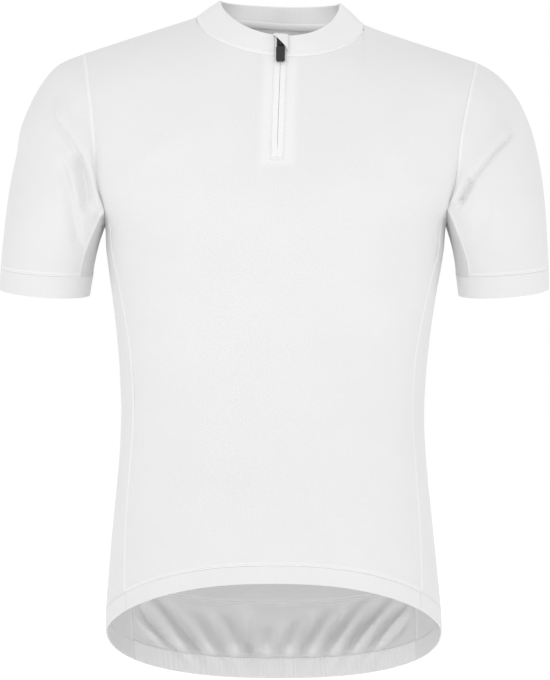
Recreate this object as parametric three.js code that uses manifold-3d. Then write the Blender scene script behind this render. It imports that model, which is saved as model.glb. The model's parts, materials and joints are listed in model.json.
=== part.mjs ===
// Short-sleeved cycling jersey, filled out as it is when worn, with nobody in it.
// Millimetres. X runs to the wearer's left, Y to the wearer's back and Z up. The origin lies between
// the shoulders, level with where their seams meet the neck. Left and right are the wearer's.
import * as THREE from 'three';
import { mergeVertices } from 'three/addons/utils/BufferGeometryUtils.js';
import Module from 'manifold-3d';

const wasm = await Module();
wasm.setup();

// Cloth and seams
const CLOTH = 1.4; // one layer of mesh knit with the seam allowance behind it
const DOUBLE_CLOTH = 1.8; // collar, cuffs and hem bands, which are folded double
const SEAM_INSET = 0.2; // how far each piece stops short of its seam line
const MITRE_LIMIT = 2; // longest mitre at a creased seam, in thicknesses

// Body form: half width, depth in front of and behind the side line, and squareness, by height
const SIDE_Y = 12;
const BODY_SECTIONS = [
  { z: 10, halfWidth: 238, front: 52, back: 66, square: 2.6 },
  { z: -46, halfWidth: 240, front: 80, back: 92, square: 2.6 },
  { z: -100, halfWidth: 240, front: 106, back: 105, square: 2.6 },
  { z: -142, halfWidth: 236, front: 122, back: 112, square: 2.6 },
  { z: -190, halfWidth: 222, front: 133, back: 113, square: 2.6 },
  { z: -216, halfWidth: 204.5, front: 136, back: 111, square: 2.52 },
  { z: -231, halfWidth: 197, front: 137, back: 109, square: 2.45 },
  { z: -265, halfWidth: 194, front: 137, back: 105, square: 2.4 },
  { z: -320, halfWidth: 186, front: 134, back: 97, square: 2.3 },
  { z: -375, halfWidth: 179, front: 129, back: 89, square: 2.3 },
  { z: -430, halfWidth: 175, front: 125, back: 84, square: 2.3 },
  { z: -467, halfWidth: 175, front: 124, back: 84, square: 2.3 },
  { z: -510, halfWidth: 177.5, front: 124, back: 88, square: 2.3 },
  { z: -578, halfWidth: 184, front: 127, back: 98, square: 2.3 },
  { z: -651, halfWidth: 191, front: 131, back: 109, square: 2.3 },
  { z: -703, halfWidth: 194, front: 133, back: 114, square: 2.3 },
  { z: -770, halfWidth: 193, front: 134, back: 116, square: 2.3 },
];

// How the garment hangs off centre, by height: how far it is shifted to the wearer's left, and what
// share of the left shoulder's drop it has
const HANG = [
  { z: 25, shift: 0, share: 0.4 },
  { z: 0, shift: 0, share: 1 },
  { z: -46, shift: 0, share: 1 },
  { z: -60, shift: -0.3, share: 0.95 },
  { z: -150, shift: -3.5, share: 0 },
  { z: -260, shift: -6, share: 0 },
  { z: -430, shift: -8.6, share: 0 },
  { z: -700, shift: -7.4, share: 0 },
  { z: -780, shift: -2, share: 0 },
];
const LEFT_DROP = 5; // the left shoulder hangs this much lower, and the right this much higher
const DROP_SPREAD = 70;

// Shoulder line and neck
const NECK_HALF = 96.5;
const SHOULDER_HALF = 224;
const RIDGE_TOP = 1.2;
const SHOULDER_SLOPE = 0.325;
const NECK_RISE = 0.002; // how fast the shoulder line climbs beside the neck
const NECK_RISE_END = 118;
const NECK_ROUNDING = 75; // height over which the shoulder rounds over, at the neck and at the tip
const TIP_ROUNDING = 52;
const NECK_FRONT_Z = -46;
const NECK_BACK_RISE = 1.25;

// Collar
const COLLAR_TOP_HALF = 69;
const COLLAR_TOP_FRONT = 69; // from the side line forwards and backwards
const COLLAR_TOP_BACK = 58;
const COLLAR_TOP_Z = 25;
const COLLAR_FRONT_DIP = 46;
const COLLAR_DIP_POWER = 1.1;
const COLLAR_BOW = 0.7;
const COLLAR_ROWS = 3;

// Armhole: how far out its seam lies, by height, in front and behind
const ARMHOLE = [
  { z: -40, front: 224, back: 224 },
  { z: -60, front: 219.5, back: 219.5 },
  { z: -85, front: 214.5, back: 215 },
  { z: -110, front: 210, back: 211.5 },
  { z: -142, front: 205.5, back: 208.5 },
  { z: -190, front: 202, back: 203 },
  { z: -216, front: 194.5, back: 194.5 },
];
const UNDERARM_CORNER_Z = -216;
const UNDERARM_DIP = 15;

// Side seams: how far out they lie, as a share of the body's half width
const SIDE_SEAM = [
  { z: -216, share: 0.951 },
  { z: -231, share: 0.958 },
  { z: -265, share: 0.953 },
  { z: -290, share: 0.938 },
  { z: -333, share: 0.918 },
  { z: -389, share: 0.9 },
  { z: -450, share: 0.9 },
  { z: -510, share: 0.906 },
  { z: -560, share: 0.903 },
  { z: -617, share: 0.886 },
  { z: -664, share: 0.868 },
  { z: -703, share: 0.86 },
  { z: -770, share: 0.855 },
];

// Hem: short in front, long behind
const HEM_SIDE_Z = -703;
const HEM_SWING = 66;
const HEM_POWER = { front: 1.15, back: 0.85 };
const BAND_SIDE = 22; // band height at the side, 2 less in front and 2 more behind
const BAND_CHANGE = 2;
const TAIL_SEAM_RISE = 89; // seam across the back above the hem, at the foot of the pockets

// Panel grids
const SHOULDER_DROPS = [0, 5.6, 21.4, 39.5, 60];
const SLOT_HALF = 6.5;
const SLOT_END_Z = -163;
const NECK_CELLS = 6;
const SHOULDER_SHARES = [0.5, 0.63, 0.76, 0.87, 0.95, 1];
const ARMHOLE_ROWS = 8;
const SLOT_ROWS = 6;
const FRONT_LOWER_ROWS = 14;
const BACK_LOWER_ROWS = 10;
const TAIL_ROWS = 4;
const SIDE_CELLS = 6;

// Sleeve: the way each line leaves the armhole, by the turn round the arm from its top
const SLEEVE_LINES = [
  { turn: 0, x: 0.945, y: 0, z: -0.327, start: 250, end: 250 },
  { turn: 90, x: 0.75, y: 0.1, z: -0.66, start: 130, end: 150 },
  { turn: 140, x: 0.35, y: 0, z: -0.94, start: 75, end: 85 },
  { turn: 180, x: 0.2, y: 0, z: -0.98, start: 60, end: 60 },
];
const CUFF_LEAN = 0.06;
const GUSSET_TURN = 140; // the underarm piece fills the rest of the turn
const SLEEVE_ROWS = 12;
const CUFF_ROWS = 2;
const CUFF_SEAM = { x: 261.8, y: 2, halfWidth: 53.2, halfDepth: 57, z: -287, tip: 4, dip: 6 };
const CUFF_EDGE = { x: 264, y: 2, halfWidth: 52, halfDepth: 56, z: -311, tip: 4, dip: 7 };

// Sleeve folds and fullness seen from the front: from the underarm end to the outer end. Face is
// -1 on the front of the sleeve, 1 on the back and 0 all round.
const SLEEVE_FOLDS = [
  { side: -1, face: 0, x0: 256, z0: -66, x1: 292, z1: -118, rise: 4.6, above: 34, below: 34, trough: 0 },
  { side: -1, face: -1, x0: 197, z0: -205, x1: 240, z1: -125, rise: 5, above: 24, below: 10, trough: 3 },
  { side: -1, face: -1, x0: 222, z0: -246, x1: 236, z1: -184, rise: -2.6, above: 9, below: 9, trough: 0 },
  { side: -1, face: -1, x0: 208, z0: -190, x1: 213, z1: -172, rise: -2, above: 7, below: 7, trough: 0 },
  { side: -1, face: 1, x0: 200, z0: -200, x1: 248, z1: -138, rise: 3.5, above: 22, below: 12, trough: 2 },
  { side: 1, face: -1, x0: 206, z0: -203, x1: 252, z1: -136, rise: 5.5, above: 24, below: 8, trough: 3.5 },
  { side: 1, face: -1, x0: 232, z0: -250, x1: 242, z1: -196, rise: -1.6, above: 9, below: 9, trough: 0 },
  { side: 1, face: 1, x0: 202, z0: -206, x1: 242, z1: -132, rise: 4, above: 22, below: 11, trough: 2 },
];
const FOLD_FADE = 0.3; // a fold dies out over this share of its length beyond each end
const FOLD_FACE_DEPTH = 26;
const FOLD_TROUGH_AT = 1.5; // how far below the ridge the trough lies, in widths of that side

// Creases that run up from the gathered back hem, by where they start at the band
const TAIL_CREASES = [
  { x: -134, depth: 1.6, width: 6 },
  { x: -118, depth: 2.6, width: 7 },
  { x: -98, depth: 3.2, width: 8 },
  { x: -74, depth: 2.4, width: 7 },
  { x: -52, depth: 3.4, width: 8 },
  { x: -30, depth: 2.2, width: 7 },
  { x: -8, depth: 3, width: 8 },
  { x: 14, depth: 2.4, width: 7 },
  { x: 34, depth: 3.2, width: 7 },
  { x: 55, depth: 2.6, width: 7 },
  { x: 76, depth: 3.4, width: 8 },
  { x: 96, depth: 2.4, width: 7 },
  { x: 112, depth: 2.8, width: 6 },
  { x: 128, depth: 1.8, width: 6 },
];
const CREASE_LEAN = 0.1;
const CREASE_FAN = 0.0085;
const CREASE_AT_BAND = 0.3;
const CREASE_FULL_AT = 0.2; // share of the tail's height, above the band, where the creases are deepest
const GATHERS = 62;
const GATHER_DEPTH = 0.6;

// Back pockets, flat and empty: sideways reach and the height of the mouth at each end
const POCKETS = [
  { name: 'pocket_centre', from: -52, to: 52, mouthFrom: -515, mouthTo: -515 },
  { name: 'pocket_left', from: 52.6, to: 150, mouthFrom: -505, mouthTo: -530 },
  { name: 'pocket_right', from: -150, to: -52.6, mouthFrom: -530, mouthTo: -505 },
];
const POCKET_CLOTH = 1.2;
const POCKET_SEAT = 0.45;
const POCKET_GAPE = 2.5;
const POCKET_FOOT = 1.5;
const POCKET_CELLS = 10;
const POCKET_ROWS = 7;

// Zip: levels above 0 are shares of the collar's height, those below are millimetres under its seam
const TAPE_INNER = 0.15;
const TAPE_OUTER = 6.4;
const TAPE_CLOTH = 1.0;
const TAPE_RECESS = 0.3;
const TAPE_LEVELS = [0.96, 0.65, 0.33, 0, -14, -30, -50, -70, -93, -116.4];
const GUARD_HALF = 18;
const GUARD_CLOTH = 1.2;
const GUARD_RECESS = 2.5;
const GUARD_LEVELS = [1, 0.65, 0.33, 0, -14, -30, -50, -70, -93, -110, -125];
const GARAGE = { from: -8.3, to: 9.3, proud: 6.6, seat: 0.35, cloth: 1, cells: 8, rows: 5 };
const GARAGE_EDGE = { highX: -8.3, highLevel: 0.82, lowX: 5, lowLevel: 0.655 };
const GARAGE_TOP_SHARE = 0.35;

// Zip slider and its pull tab, in the slider's own frame: across, down the zip, and out from it
const PIVOT_LEVEL = 0.6;
const SLIDER = { top: 7, bottom: 5, topHalf: 4.2, bottomHalf: 3, thick: 1.6, corner: 1.4 };
const BAIL = { top: 5.5, bottom: 4, half: 1.5, height: 5, wire: 1.1, root: 1.2, corner: 1.5 };
const PIVOT_OUT = 2.7;
const PULL_HEAD = { top: 0.6, bottom: 7, half: 4.2, thick: 1.2, corner: 0.5 };
const PULL_SLOT = { top: -0.6, bottom: 5, half: 2.1 };
const PULL_GRIP = { top: 5.6, bottom: 25, half: 5, thick: 2.2, corner: 2.4, bevel: 0.5 };
const PULL_LEAN = 2; // degrees towards the cloth

const MESH_WHITE = { color: 0xf1f2f4, roughness: 0.85, metalness: 0 };
const UNDERARM_WHITE = { color: 0xeceef1, roughness: 0.85, metalness: 0 };
const BAND_WHITE = { color: 0xf4f5f6, roughness: 0.8, metalness: 0 };
const TAPE_WHITE = { color: 0xe9eaec, roughness: 0.75, metalness: 0 };
const MOULDED_GREY = { color: 0x3a3b3f, roughness: 0.5, metalness: 0 };

const RADIANS = Math.PI / 180;
const TINY_STEP = 0.2;
const WELD = 1e-4;
const NECK_STEP = 0.02;
const SOLVE_PASSES = 12;

function mix(a, b, share) {
  return a + (b - a) * share;
}

function clamp(value, low, high) {
  return Math.min(Math.max(value, low), high);
}

function hermite(p0, m0, p1, m1, t) {
  const t2 = t * t;
  const t3 = t2 * t;
  return (2 * t3 - 3 * t2 + 1) * p0 + (t3 - 2 * t2 + t) * m0 + (3 * t2 - 2 * t3) * p1 + (t3 - t2) * m1;
}

// Smooth value of one column of a table, held level beyond the table's ends
function lookUp(rows, key, name, at) {
  const last = rows.length - 1;
  const order = Math.sign(rows[last][key] - rows[0][key]);
  if ((at - rows[0][key]) * order <= 0) return rows[0][name];
  if ((at - rows[last][key]) * order >= 0) return rows[last][name];
  let i = 0;
  while ((at - rows[i + 1][key]) * order > 0) i += 1;
  const slopeAt = (k) => {
    const before = rows[Math.max(k - 1, 0)];
    const after = rows[Math.min(k + 1, last)];
    return (after[name] - before[name]) / (after[key] - before[key]);
  };
  const span = rows[i + 1][key] - rows[i][key];
  const t = (at - rows[i][key]) / span;
  return hermite(rows[i][name], slopeAt(i) * span, rows[i + 1][name], slopeAt(i + 1) * span, t);
}

const section = (name, z) => lookUp(BODY_SECTIONS, 'z', name, z);
const depthName = (face) => (face < 0 ? 'front' : 'back');

// The shoulder line, and how far the body has rounded over below it, from 0 on the line to 1
function ridgeHeight(x) {
  const out = Math.abs(x);
  const rise = out < NECK_RISE_END ? NECK_RISE * (NECK_RISE_END - out) ** 2 : 0;
  return RIDGE_TOP - SHOULDER_SLOPE * (out - NECK_HALF) + rise;
}

function ridgeRounding(x, z) {
  const spread = clamp((Math.abs(x) - NECK_HALF) / (SHOULDER_HALF - NECK_HALF), 0, 1);
  const t = (ridgeHeight(x) - z) / mix(NECK_ROUNDING, TIP_ROUNDING, spread);
  if (t <= 0) return 0;
  return t >= 1 ? 1 : Math.sqrt(1 - (1 - t) ** 2);
}

const NECK_SIDE_Z = ridgeHeight(NECK_HALF);

// A point of the body's surface in front (face -1) or behind (face 1)
function bodyPoint(x, z, face) {
  const square = section('square', z);
  const reach = Math.min(Math.abs(x) / section('halfWidth', z), 1);
  const depth = section(depthName(face), z) * ridgeRounding(x, z);
  return new THREE.Vector3(x, SIDE_Y + face * depth * (1 - reach ** square) ** (1 / square), z);
}

// The same surface by the angle from the side line, negative in front, for the side panels
function sidePoint(angle, z) {
  const power = 2 / section('square', z);
  const depth = section(depthName(Math.sign(angle)), z);
  const x = section('halfWidth', z) * Math.cos(angle) ** power;
  return new THREE.Vector3(x, SIDE_Y + Math.sign(angle) * depth * Math.abs(Math.sin(angle)) ** power, z);
}

function bodyLevel(x, y, z) {
  const square = section('square', z);
  const depth = section(depthName(Math.sign(y - SIDE_Y)), z) * ridgeRounding(x, z);
  return (Math.abs(x) / section('halfWidth', z)) ** square + (Math.abs(y - SIDE_Y) / depth) ** square;
}

// Outward direction of the body's surface
function bodyNormal(p) {
  if (ridgeHeight(p.x) - p.z < 2 * TINY_STEP) {
    return new THREE.Vector3(SHOULDER_SLOPE * Math.sign(p.x), 0, 1).normalize();
  }
  const h = TINY_STEP;
  return new THREE.Vector3(
    bodyLevel(p.x + h, p.y, p.z) - bodyLevel(p.x - h, p.y, p.z),
    bodyLevel(p.x, p.y + h, p.z) - bodyLevel(p.x, p.y - h, p.z),
    bodyLevel(p.x, p.y, p.z + h) - bodyLevel(p.x, p.y, p.z - h),
  ).normalize();
}

// Side seams and hem lines
const seamX = (z) => lookUp(SIDE_SEAM, 'z', 'share', z) * section('halfWidth', z);
const seamAngle = (z) => Math.acos(lookUp(SIDE_SEAM, 'z', 'share', z) ** (section('square', z) / 2));
const hemHeight = (sine) => (
  HEM_SIDE_Z - Math.sign(sine) * HEM_SWING * Math.abs(sine) ** HEM_POWER[depthName(Math.sign(sine))]
);
const bandRise = (sine) => BAND_SIDE + BAND_CHANGE * sine;
const tailRise = () => TAIL_SEAM_RISE;
const noRise = () => 0;

// Height of a line that runs along the hem, at a place sideways on one face
function hemLine(x, face, rise) {
  let z = HEM_SIDE_Z;
  for (let pass = 0; pass < SOLVE_PASSES; pass += 1) {
    const reach = Math.min(Math.abs(x) / section('halfWidth', z), 1);
    const sine = face * Math.sqrt(1 - reach ** section('square', z));
    z = hemHeight(sine) + rise(sine);
  }
  return z;
}

// The same line where it meets the side seam
function hemCorner(face, rise) {
  let z = HEM_SIDE_Z;
  for (let pass = 0; pass < SOLVE_PASSES; pass += 1) {
    const sine = face * Math.sin(seamAngle(z));
    z = hemHeight(sine) + rise(sine);
  }
  return z;
}

// Neck seam and collar, by the turn from the front centre round to the back centre
function neckPoint(turn) {
  const x = NECK_HALF * Math.sin(turn);
  const cosine = Math.cos(turn);
  if (cosine > 0) return bodyPoint(x, mix(NECK_SIDE_Z, NECK_FRONT_Z, cosine), -1);
  return bodyPoint(x, NECK_SIDE_Z + NECK_BACK_RISE * cosine ** 2, 1);
}

function collarTop(turn) {
  const cosine = Math.cos(turn);
  const forward = cosine > 0 ? COLLAR_TOP_FRONT * cosine : COLLAR_TOP_BACK * cosine;
  const dip = cosine > 0 ? COLLAR_FRONT_DIP * cosine ** COLLAR_DIP_POWER : 0;
  return new THREE.Vector3(COLLAR_TOP_HALF * Math.sin(turn), SIDE_Y - forward, COLLAR_TOP_Z - dip);
}

function collarPoint(turnBelow, turnAbove, share) {
  const bow = COLLAR_BOW * Math.sin(Math.PI * share);
  const out = new THREE.Vector3(Math.sin(turnBelow), -Math.cos(turnBelow), 0);
  return neckPoint(turnBelow).lerp(collarTop(turnAbove), share).addScaledVector(out, bow);
}

// Where the seam at the neck lies: the mean of the body's and the collar's directions, mitred
function mitre(first, second) {
  const joined = first.clone().add(second).divideScalar(1 + first.dot(second));
  return joined.clampLength(0, MITRE_LIMIT);
}

function neckDirection(turn) {
  const along = neckPoint(turn + NECK_STEP).sub(neckPoint(turn - NECK_STEP));
  const up = collarPoint(turn, turn, NECK_STEP).sub(neckPoint(turn));
  return mitre(bodyNormal(neckPoint(turn)), along.cross(up).normalize());
}

const FIRST_TURN = Math.asin(SLOT_HALF / NECK_HALF);
const FIRST_TOP_TURN = Math.asin(SLOT_HALF / COLLAR_TOP_HALF);
const neckTurn = (k) => mix(FIRST_TURN, Math.PI / 2, k / NECK_CELLS);
const shareOf = (x) => (x - SLOT_HALF) / (SHOULDER_HALF - SLOT_HALF);

// Columns of a body panel, from the wearer's right to the left: share of the way to its side edge
const HALF_SHARES = [];
for (let k = 0; k <= NECK_CELLS; k += 1) {
  HALF_SHARES.push(shareOf(NECK_HALF * Math.sin(neckTurn(k))));
}
HALF_SHARES.push(...SHOULDER_SHARES);
const CENTRE_CELL = HALF_SHARES.length - 1;

function bothSides(make) {
  const left = HALF_SHARES.map((share, k) => make(1, share, k));
  const right = HALF_SHARES.map((share, k) => make(-1, share, k));
  return [...right.reverse(), ...left];
}

const columnX = (side, share, edgeX) => side * mix(SLOT_HALF, edgeX, share);

// Height of a panel's top edge, which is the neck seam and then the shoulder line
function topHeight(share, k, face) {
  if (k >= NECK_CELLS) return ridgeHeight(columnX(1, share, SHOULDER_HALF));
  const turn = face < 0 ? neckTurn(k) : Math.PI - neckTurn(k);
  return neckPoint(turn).z;
}

const sideEdgeX = (z, face) => (
  z > UNDERARM_CORNER_Z ? lookUp(ARMHOLE, 'z', depthName(face), z) : seamX(z)
);

// Rows of a body panel below the shoulder, as shares of the way down from there to its lower edge
function rowShares(face, rise, lowerRows) {
  const dropped = ridgeHeight(SHOULDER_HALF) - SHOULDER_DROPS.at(-1);
  const corner = (dropped - UNDERARM_CORNER_Z) / (dropped - hemCorner(face, rise));
  const slotTop = NECK_FRONT_Z - SHOULDER_DROPS.at(-1);
  const slot = (slotTop - SLOT_END_Z) / (slotTop - hemLine(0, -1, bandRise));
  const shares = [slot / 2, slot, (slot + corner) / 2, corner];
  for (let k = 1; k <= lowerRows; k += 1) {
    shares.push(mix(corner, 1, k / lowerRows));
  }
  return shares;
}

// Grid of a front or back panel, from the neck and shoulders down to a line along the hem
function bodyPanel(face, rise, lowerRows) {
  const endX = seamX(hemCorner(face, rise));
  const dropped = SHOULDER_DROPS.at(-1);
  const sideTop = ridgeHeight(SHOULDER_HALF);
  const sideEnd = hemCorner(face, rise);
  const rows = SHOULDER_DROPS.map((drop) => ({ drop, share: 0 }));
  rowShares(face, rise, lowerRows).forEach((share) => rows.push({ drop: dropped, share }));
  const points = rows.map((row) => {
    const sideZ = mix(sideTop - row.drop, sideEnd, row.share);
    const edgeX = sideEdgeX(Math.abs(sideZ - UNDERARM_CORNER_Z) < TINY_STEP ? UNDERARM_CORNER_Z : sideZ, face);
    return bothSides((side, share, k) => {
      const end = hemLine(columnX(1, share, endX), face, rise);
      const z = mix(topHeight(share, k, face) - row.drop, end, row.share);
      return bodyPoint(columnX(side, share, edgeX), z, face);
    });
  });
  const directions = points.map((row) => row.map(bodyNormal));
  directions[0] = bothSides((side, share, k) => {
    if (k > NECK_CELLS) return bodyNormal(new THREE.Vector3(side * SHOULDER_HALF, 0, 0));
    const direction = neckDirection(face < 0 ? neckTurn(k) : Math.PI - neckTurn(k));
    return new THREE.Vector3(direction.x * side, direction.y, direction.z);
  });
  return { points, directions };
}

const frontPanel = bodyPanel(-1, bandRise, FRONT_LOWER_ROWS);
const backPanel = bodyPanel(1, tailRise, BACK_LOWER_ROWS);
const edgeOf = (panel) => panel.points.map((row) => row.at(-1));

// Grid along the hem between two lines, on a chosen list of columns
function hemStrip(face, upper, lower, rowCount, shares) {
  const cornerUp = hemCorner(face, upper);
  const cornerDown = hemCorner(face, lower);
  const points = [];
  for (let j = 0; j <= rowCount; j += 1) {
    const down = j / rowCount;
    const edgeX = seamX(mix(cornerUp, cornerDown, down));
    points.push(shares.map((share) => {
      const side = Math.sign(share);
      const top = hemLine(columnX(1, Math.abs(share) - 1, seamX(cornerUp)), face, upper);
      const end = hemLine(columnX(1, Math.abs(share) - 1, seamX(cornerDown)), face, lower);
      return bodyPoint(columnX(side, Math.abs(share) - 1, edgeX), mix(top, end, down), face);
    }));
  }
  return { points, directions: points.map((row) => row.map(bodyNormal)) };
}

// Column lists for the hem strips: 1 is the slot's edge and 2 the side seam, with the side's sign
const PANEL_COLUMNS = bothSides((side, share) => side * (1 + share));

function subdivided(columns, parts) {
  const list = [];
  for (let i = 0; i < columns.length - 1; i += 1) {
    for (let k = 0; k < parts; k += 1) {
      const crosses = columns[i] * columns[i + 1] < 0;
      if (!crosses) list.push(mix(columns[i], columns[i + 1], k / parts));
    }
    if (columns[i] * columns[i + 1] < 0) list.push(columns[i]);
  }
  list.push(columns.at(-1));
  return list;
}

// Even columns by distance along the hem, for the gathered band
function evenColumns(cells, edgeX) {
  const list = [];
  for (let i = 0; i <= cells; i += 1) {
    const x = mix(-edgeX, edgeX, i / cells);
    const side = x < 0 ? -1 : 1;
    list.push(side * (1 + (Math.abs(x) - SLOT_HALF) / (edgeX - SLOT_HALF)));
  }
  return list;
}

// Depth of the creases above the gathered hem: none at the tail seam, some left at the band
function tailCrease(p) {
  const bandZ = hemLine(p.x, 1, bandRise);
  const up = clamp((p.z - bandZ) / (TAIL_SEAM_RISE - BAND_SIDE - BAND_CHANGE), 0, 1);
  const above = (up - CREASE_FULL_AT) / (1 - CREASE_FULL_AT);
  const strength = above < 0
    ? mix(CREASE_AT_BAND, 1, up / CREASE_FULL_AT)
    : Math.cos(above * Math.PI / 2) ** 2;
  let sum = 0;
  for (const crease of TAIL_CREASES) {
    const line = crease.x + (CREASE_LEAN + CREASE_FAN * crease.x) * (p.z - bandZ);
    sum += crease.depth * Math.exp(-(((p.x - line) / crease.width) ** 2));
  }
  return sum * strength;
}

function moveOut(grid, distance) {
  const shift = typeof distance === 'function' ? distance : () => distance;
  const points = grid.points.map((row, j) => row.map((p, i) => (
    p.clone().addScaledVector(grid.directions[j][i], shift(p, j, i))
  )));
  return { points, directions: grid.directions };
}

// Directions square to a grid of points, on the side that outward(point) faces
function squareTo(points, outward, closed) {
  const last = points.length - 1;
  return points.map((row, j) => row.map((p, i) => {
    const count = row.length;
    const next = closed ? row[(i + 1) % count] : row[Math.min(i + 1, count - 1)];
    const before = closed ? row[(i + count - 1) % count] : row[Math.max(i - 1, 0)];
    const down = points[Math.min(j + 1, last)][i].clone().sub(points[Math.max(j - 1, 0)][i]);
    const normal = next.clone().sub(before).cross(down).normalize();
    return normal.dot(outward(p)) < 0 ? normal.negate() : normal;
  }));
}

// Side panel on the wearer's left, from the underarm down to the hem
function sidePanelGrid() {
  const front = edgeOf(frontPanel).slice(ARMHOLE_ROWS).map((p) => p.z);
  const tail = hemStrip(1, tailRise, bandRise, TAIL_ROWS, PANEL_COLUMNS);
  const back = edgeOf(backPanel).slice(ARMHOLE_ROWS).map((p) => p.z);
  back.push(...tail.points.slice(1).map((row) => row.at(-1).z));
  const last = front.length - 1;
  const points = front.map((frontZ, k) => {
    const row = [];
    for (let c = 0; c <= SIDE_CELLS; c += 1) {
      const share = c / SIDE_CELLS;
      const angle = mix(-seamAngle(frontZ), seamAngle(back[k]), share);
      const dip = UNDERARM_DIP * ((2 * share - 1) ** 2 - 1) * (1 - k / last) ** 3;
      const hemZ = hemHeight(Math.sin(angle)) + bandRise(Math.sin(angle));
      const swing = (hemZ - mix(front[last], back[last], share)) * (k / last) ** 3;
      const inner = c > 0 && c < SIDE_CELLS;
      row.push(sidePoint(angle, mix(frontZ, back[k], share) + (inner ? dip + swing : 0)));
    }
    return row;
  });
  return { points, directions: points.map((row) => row.map(bodyNormal)) };
}

// Side hem band, from the side panel's lower edge to the hem
function sideHemGrid(panel) {
  const upper = panel.points.at(-1);
  const frontAngle = -seamAngle(hemCorner(-1, noRise));
  const backAngle = seamAngle(hemCorner(1, noRise));
  const lower = upper.map((p, c) => {
    const angle = mix(frontAngle, backAngle, c / SIDE_CELLS);
    return sidePoint(angle, hemHeight(Math.sin(angle)));
  });
  const points = [upper, lower];
  return { points, directions: points.map((row) => row.map(bodyNormal)) };
}

const sidePanel = sidePanelGrid();
const sideHem = sideHemGrid(sidePanel);

function cuffRing(ring, turn) {
  const angle = turn * RADIANS;
  return new THREE.Vector3(
    ring.x + ring.halfWidth * Math.cos(angle),
    ring.y - ring.halfDepth * Math.sin(angle),
    ring.z + ring.tip * Math.cos(angle) - ring.dip * Math.sin(angle),
  );
}

// A line of the sleeve from a point of the armhole to the cuff seam
function sleevePoint(start, turn, t) {
  const away = Math.abs(turn);
  const column = (name) => lookUp(SLEEVE_LINES, 'turn', name, away);
  const leave = new THREE.Vector3(column('x'), -Math.sign(turn) * column('y'), column('z'));
  leave.normalize().multiplyScalar(column('start'));
  const arrive = new THREE.Vector3(CUFF_LEAN, 0, -1).multiplyScalar(column('end'));
  const end = cuffRing(CUFF_SEAM, turn);
  return new THREE.Vector3(
    hermite(start.x, leave.x, end.x, arrive.x, t),
    hermite(start.y, leave.y, end.y, arrive.y, t),
    hermite(start.z, leave.z, end.z, arrive.z, t),
  );
}

// The closed armhole on the wearer's left: up the front, down the back, then under the arm
function armholeLoop() {
  const front = edgeOf(frontPanel).slice(0, ARMHOLE_ROWS + 1).reverse();
  const back = edgeOf(backPanel).slice(1, ARMHOLE_ROWS + 1);
  const under = sidePanel.points[0].slice(1, -1).reverse();
  return [...front, ...back, ...under];
}

// Turn round the arm at each point of the loop, by distance along the seam
function armholeTurns(loop) {
  const lengthTo = (from, to) => {
    let sum = 0;
    for (let k = from; k < to; k += 1) {
      sum += loop[k].distanceTo(loop[(k + 1) % loop.length]);
    }
    return sum;
  };
  const top = ARMHOLE_ROWS;
  const corner = 2 * ARMHOLE_ROWS;
  return loop.map((p, k) => {
    if (k <= top) return GUSSET_TURN * lengthTo(k, top) / lengthTo(0, top);
    if (k <= corner) return -GUSSET_TURN * lengthTo(top, k) / lengthTo(top, corner);
    const under = (360 - 2 * GUSSET_TURN) * lengthTo(corner, k) / lengthTo(corner, loop.length);
    return -GUSSET_TURN - under;
  });
}

// Extra samples halfway along each straight stretch of the sleeve's part of the armhole
function finerLoop(loop, turns) {
  const samples = [];
  loop.forEach((p, k) => {
    samples.push({ p, turn: turns[k], share: k });
    if (k < 2 * ARMHOLE_ROWS) {
      const middle = p.clone().lerp(loop[k + 1], 0.5);
      samples.push({ p: middle, turn: mix(turns[k], turns[k + 1], 0.5), share: k + 0.5 });
    }
  });
  return samples;
}

function foldHeight(p, side) {
  let sum = 0;
  for (const fold of SLEEVE_FOLDS.filter((f) => f.side === side)) {
    const lengthX = fold.x1 - fold.x0;
    const lengthZ = fold.z1 - fold.z0;
    const squared = lengthX ** 2 + lengthZ ** 2;
    const along = ((p.x - fold.x0) * lengthX + (p.z - fold.z0) * lengthZ) / squared;
    const off = ((p.x - fold.x0) * lengthZ - (p.z - fold.z0) * lengthX) / Math.sqrt(squared);
    const beyond = Math.max(-along, along - 1, 0) / FOLD_FADE;
    const onFace = fold.face === 0 ? 1 : clamp((p.y - SIDE_Y) * fold.face / FOLD_FACE_DEPTH, 0, 1);
    if (beyond >= 1 || onFace === 0) continue;
    const fade = onFace * Math.cos(beyond * Math.PI / 2) ** 2;
    const crest = Math.exp(-((off / (off > 0 ? fold.below : fold.above)) ** 2));
    const valley = Math.exp(-((off / fold.below - FOLD_TROUGH_AT) ** 2));
    sum += fade * (fold.rise * crest - fold.trough * valley);
  }
  return sum;
}

const ARM_CENTRE = new THREE.Vector3(CUFF_SEAM.x, CUFF_SEAM.y, CUFF_SEAM.z);

// The sleeve and its underarm piece as one closed tube, before the folds are added
function sleeveTube() {
  const loop = armholeLoop();
  const samples = finerLoop(loop, armholeTurns(loop));
  const points = [];
  for (let j = 0; j <= SLEEVE_ROWS; j += 1) {
    points.push(samples.map(({ p, turn }) => sleevePoint(p, turn, j / SLEEVE_ROWS)));
  }
  const inside = points.map((row) => {
    const middle = new THREE.Vector3();
    row.forEach((p) => middle.addScaledVector(p, 1 / row.length));
    return middle;
  });
  const rowOf = new Map();
  points.forEach((row, j) => row.forEach((p) => rowOf.set(p, j)));
  const outward = (p) => p.clone().sub(inside[rowOf.get(p)]);
  const directions = squareTo(points, outward, true);
  const seams = samples.map(({ p }, k) => {
    const count = samples.length;
    const along = samples[(k + 1) % count].p.clone().sub(samples[(k + count - 1) % count].p);
    const sleeveNormal = points[1][k].clone().sub(p).cross(along).normalize();
    if (sleeveNormal.dot(outward(points[0][k])) < 0) sleeveNormal.negate();
    return mitre(bodyNormal(p), sleeveNormal);
  });
  directions[0] = seams;
  return { points, directions, samples };
}

const tube = sleeveTube();
const GUSSET_START = 4 * ARMHOLE_ROWS; // first column of the underarm piece

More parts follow.
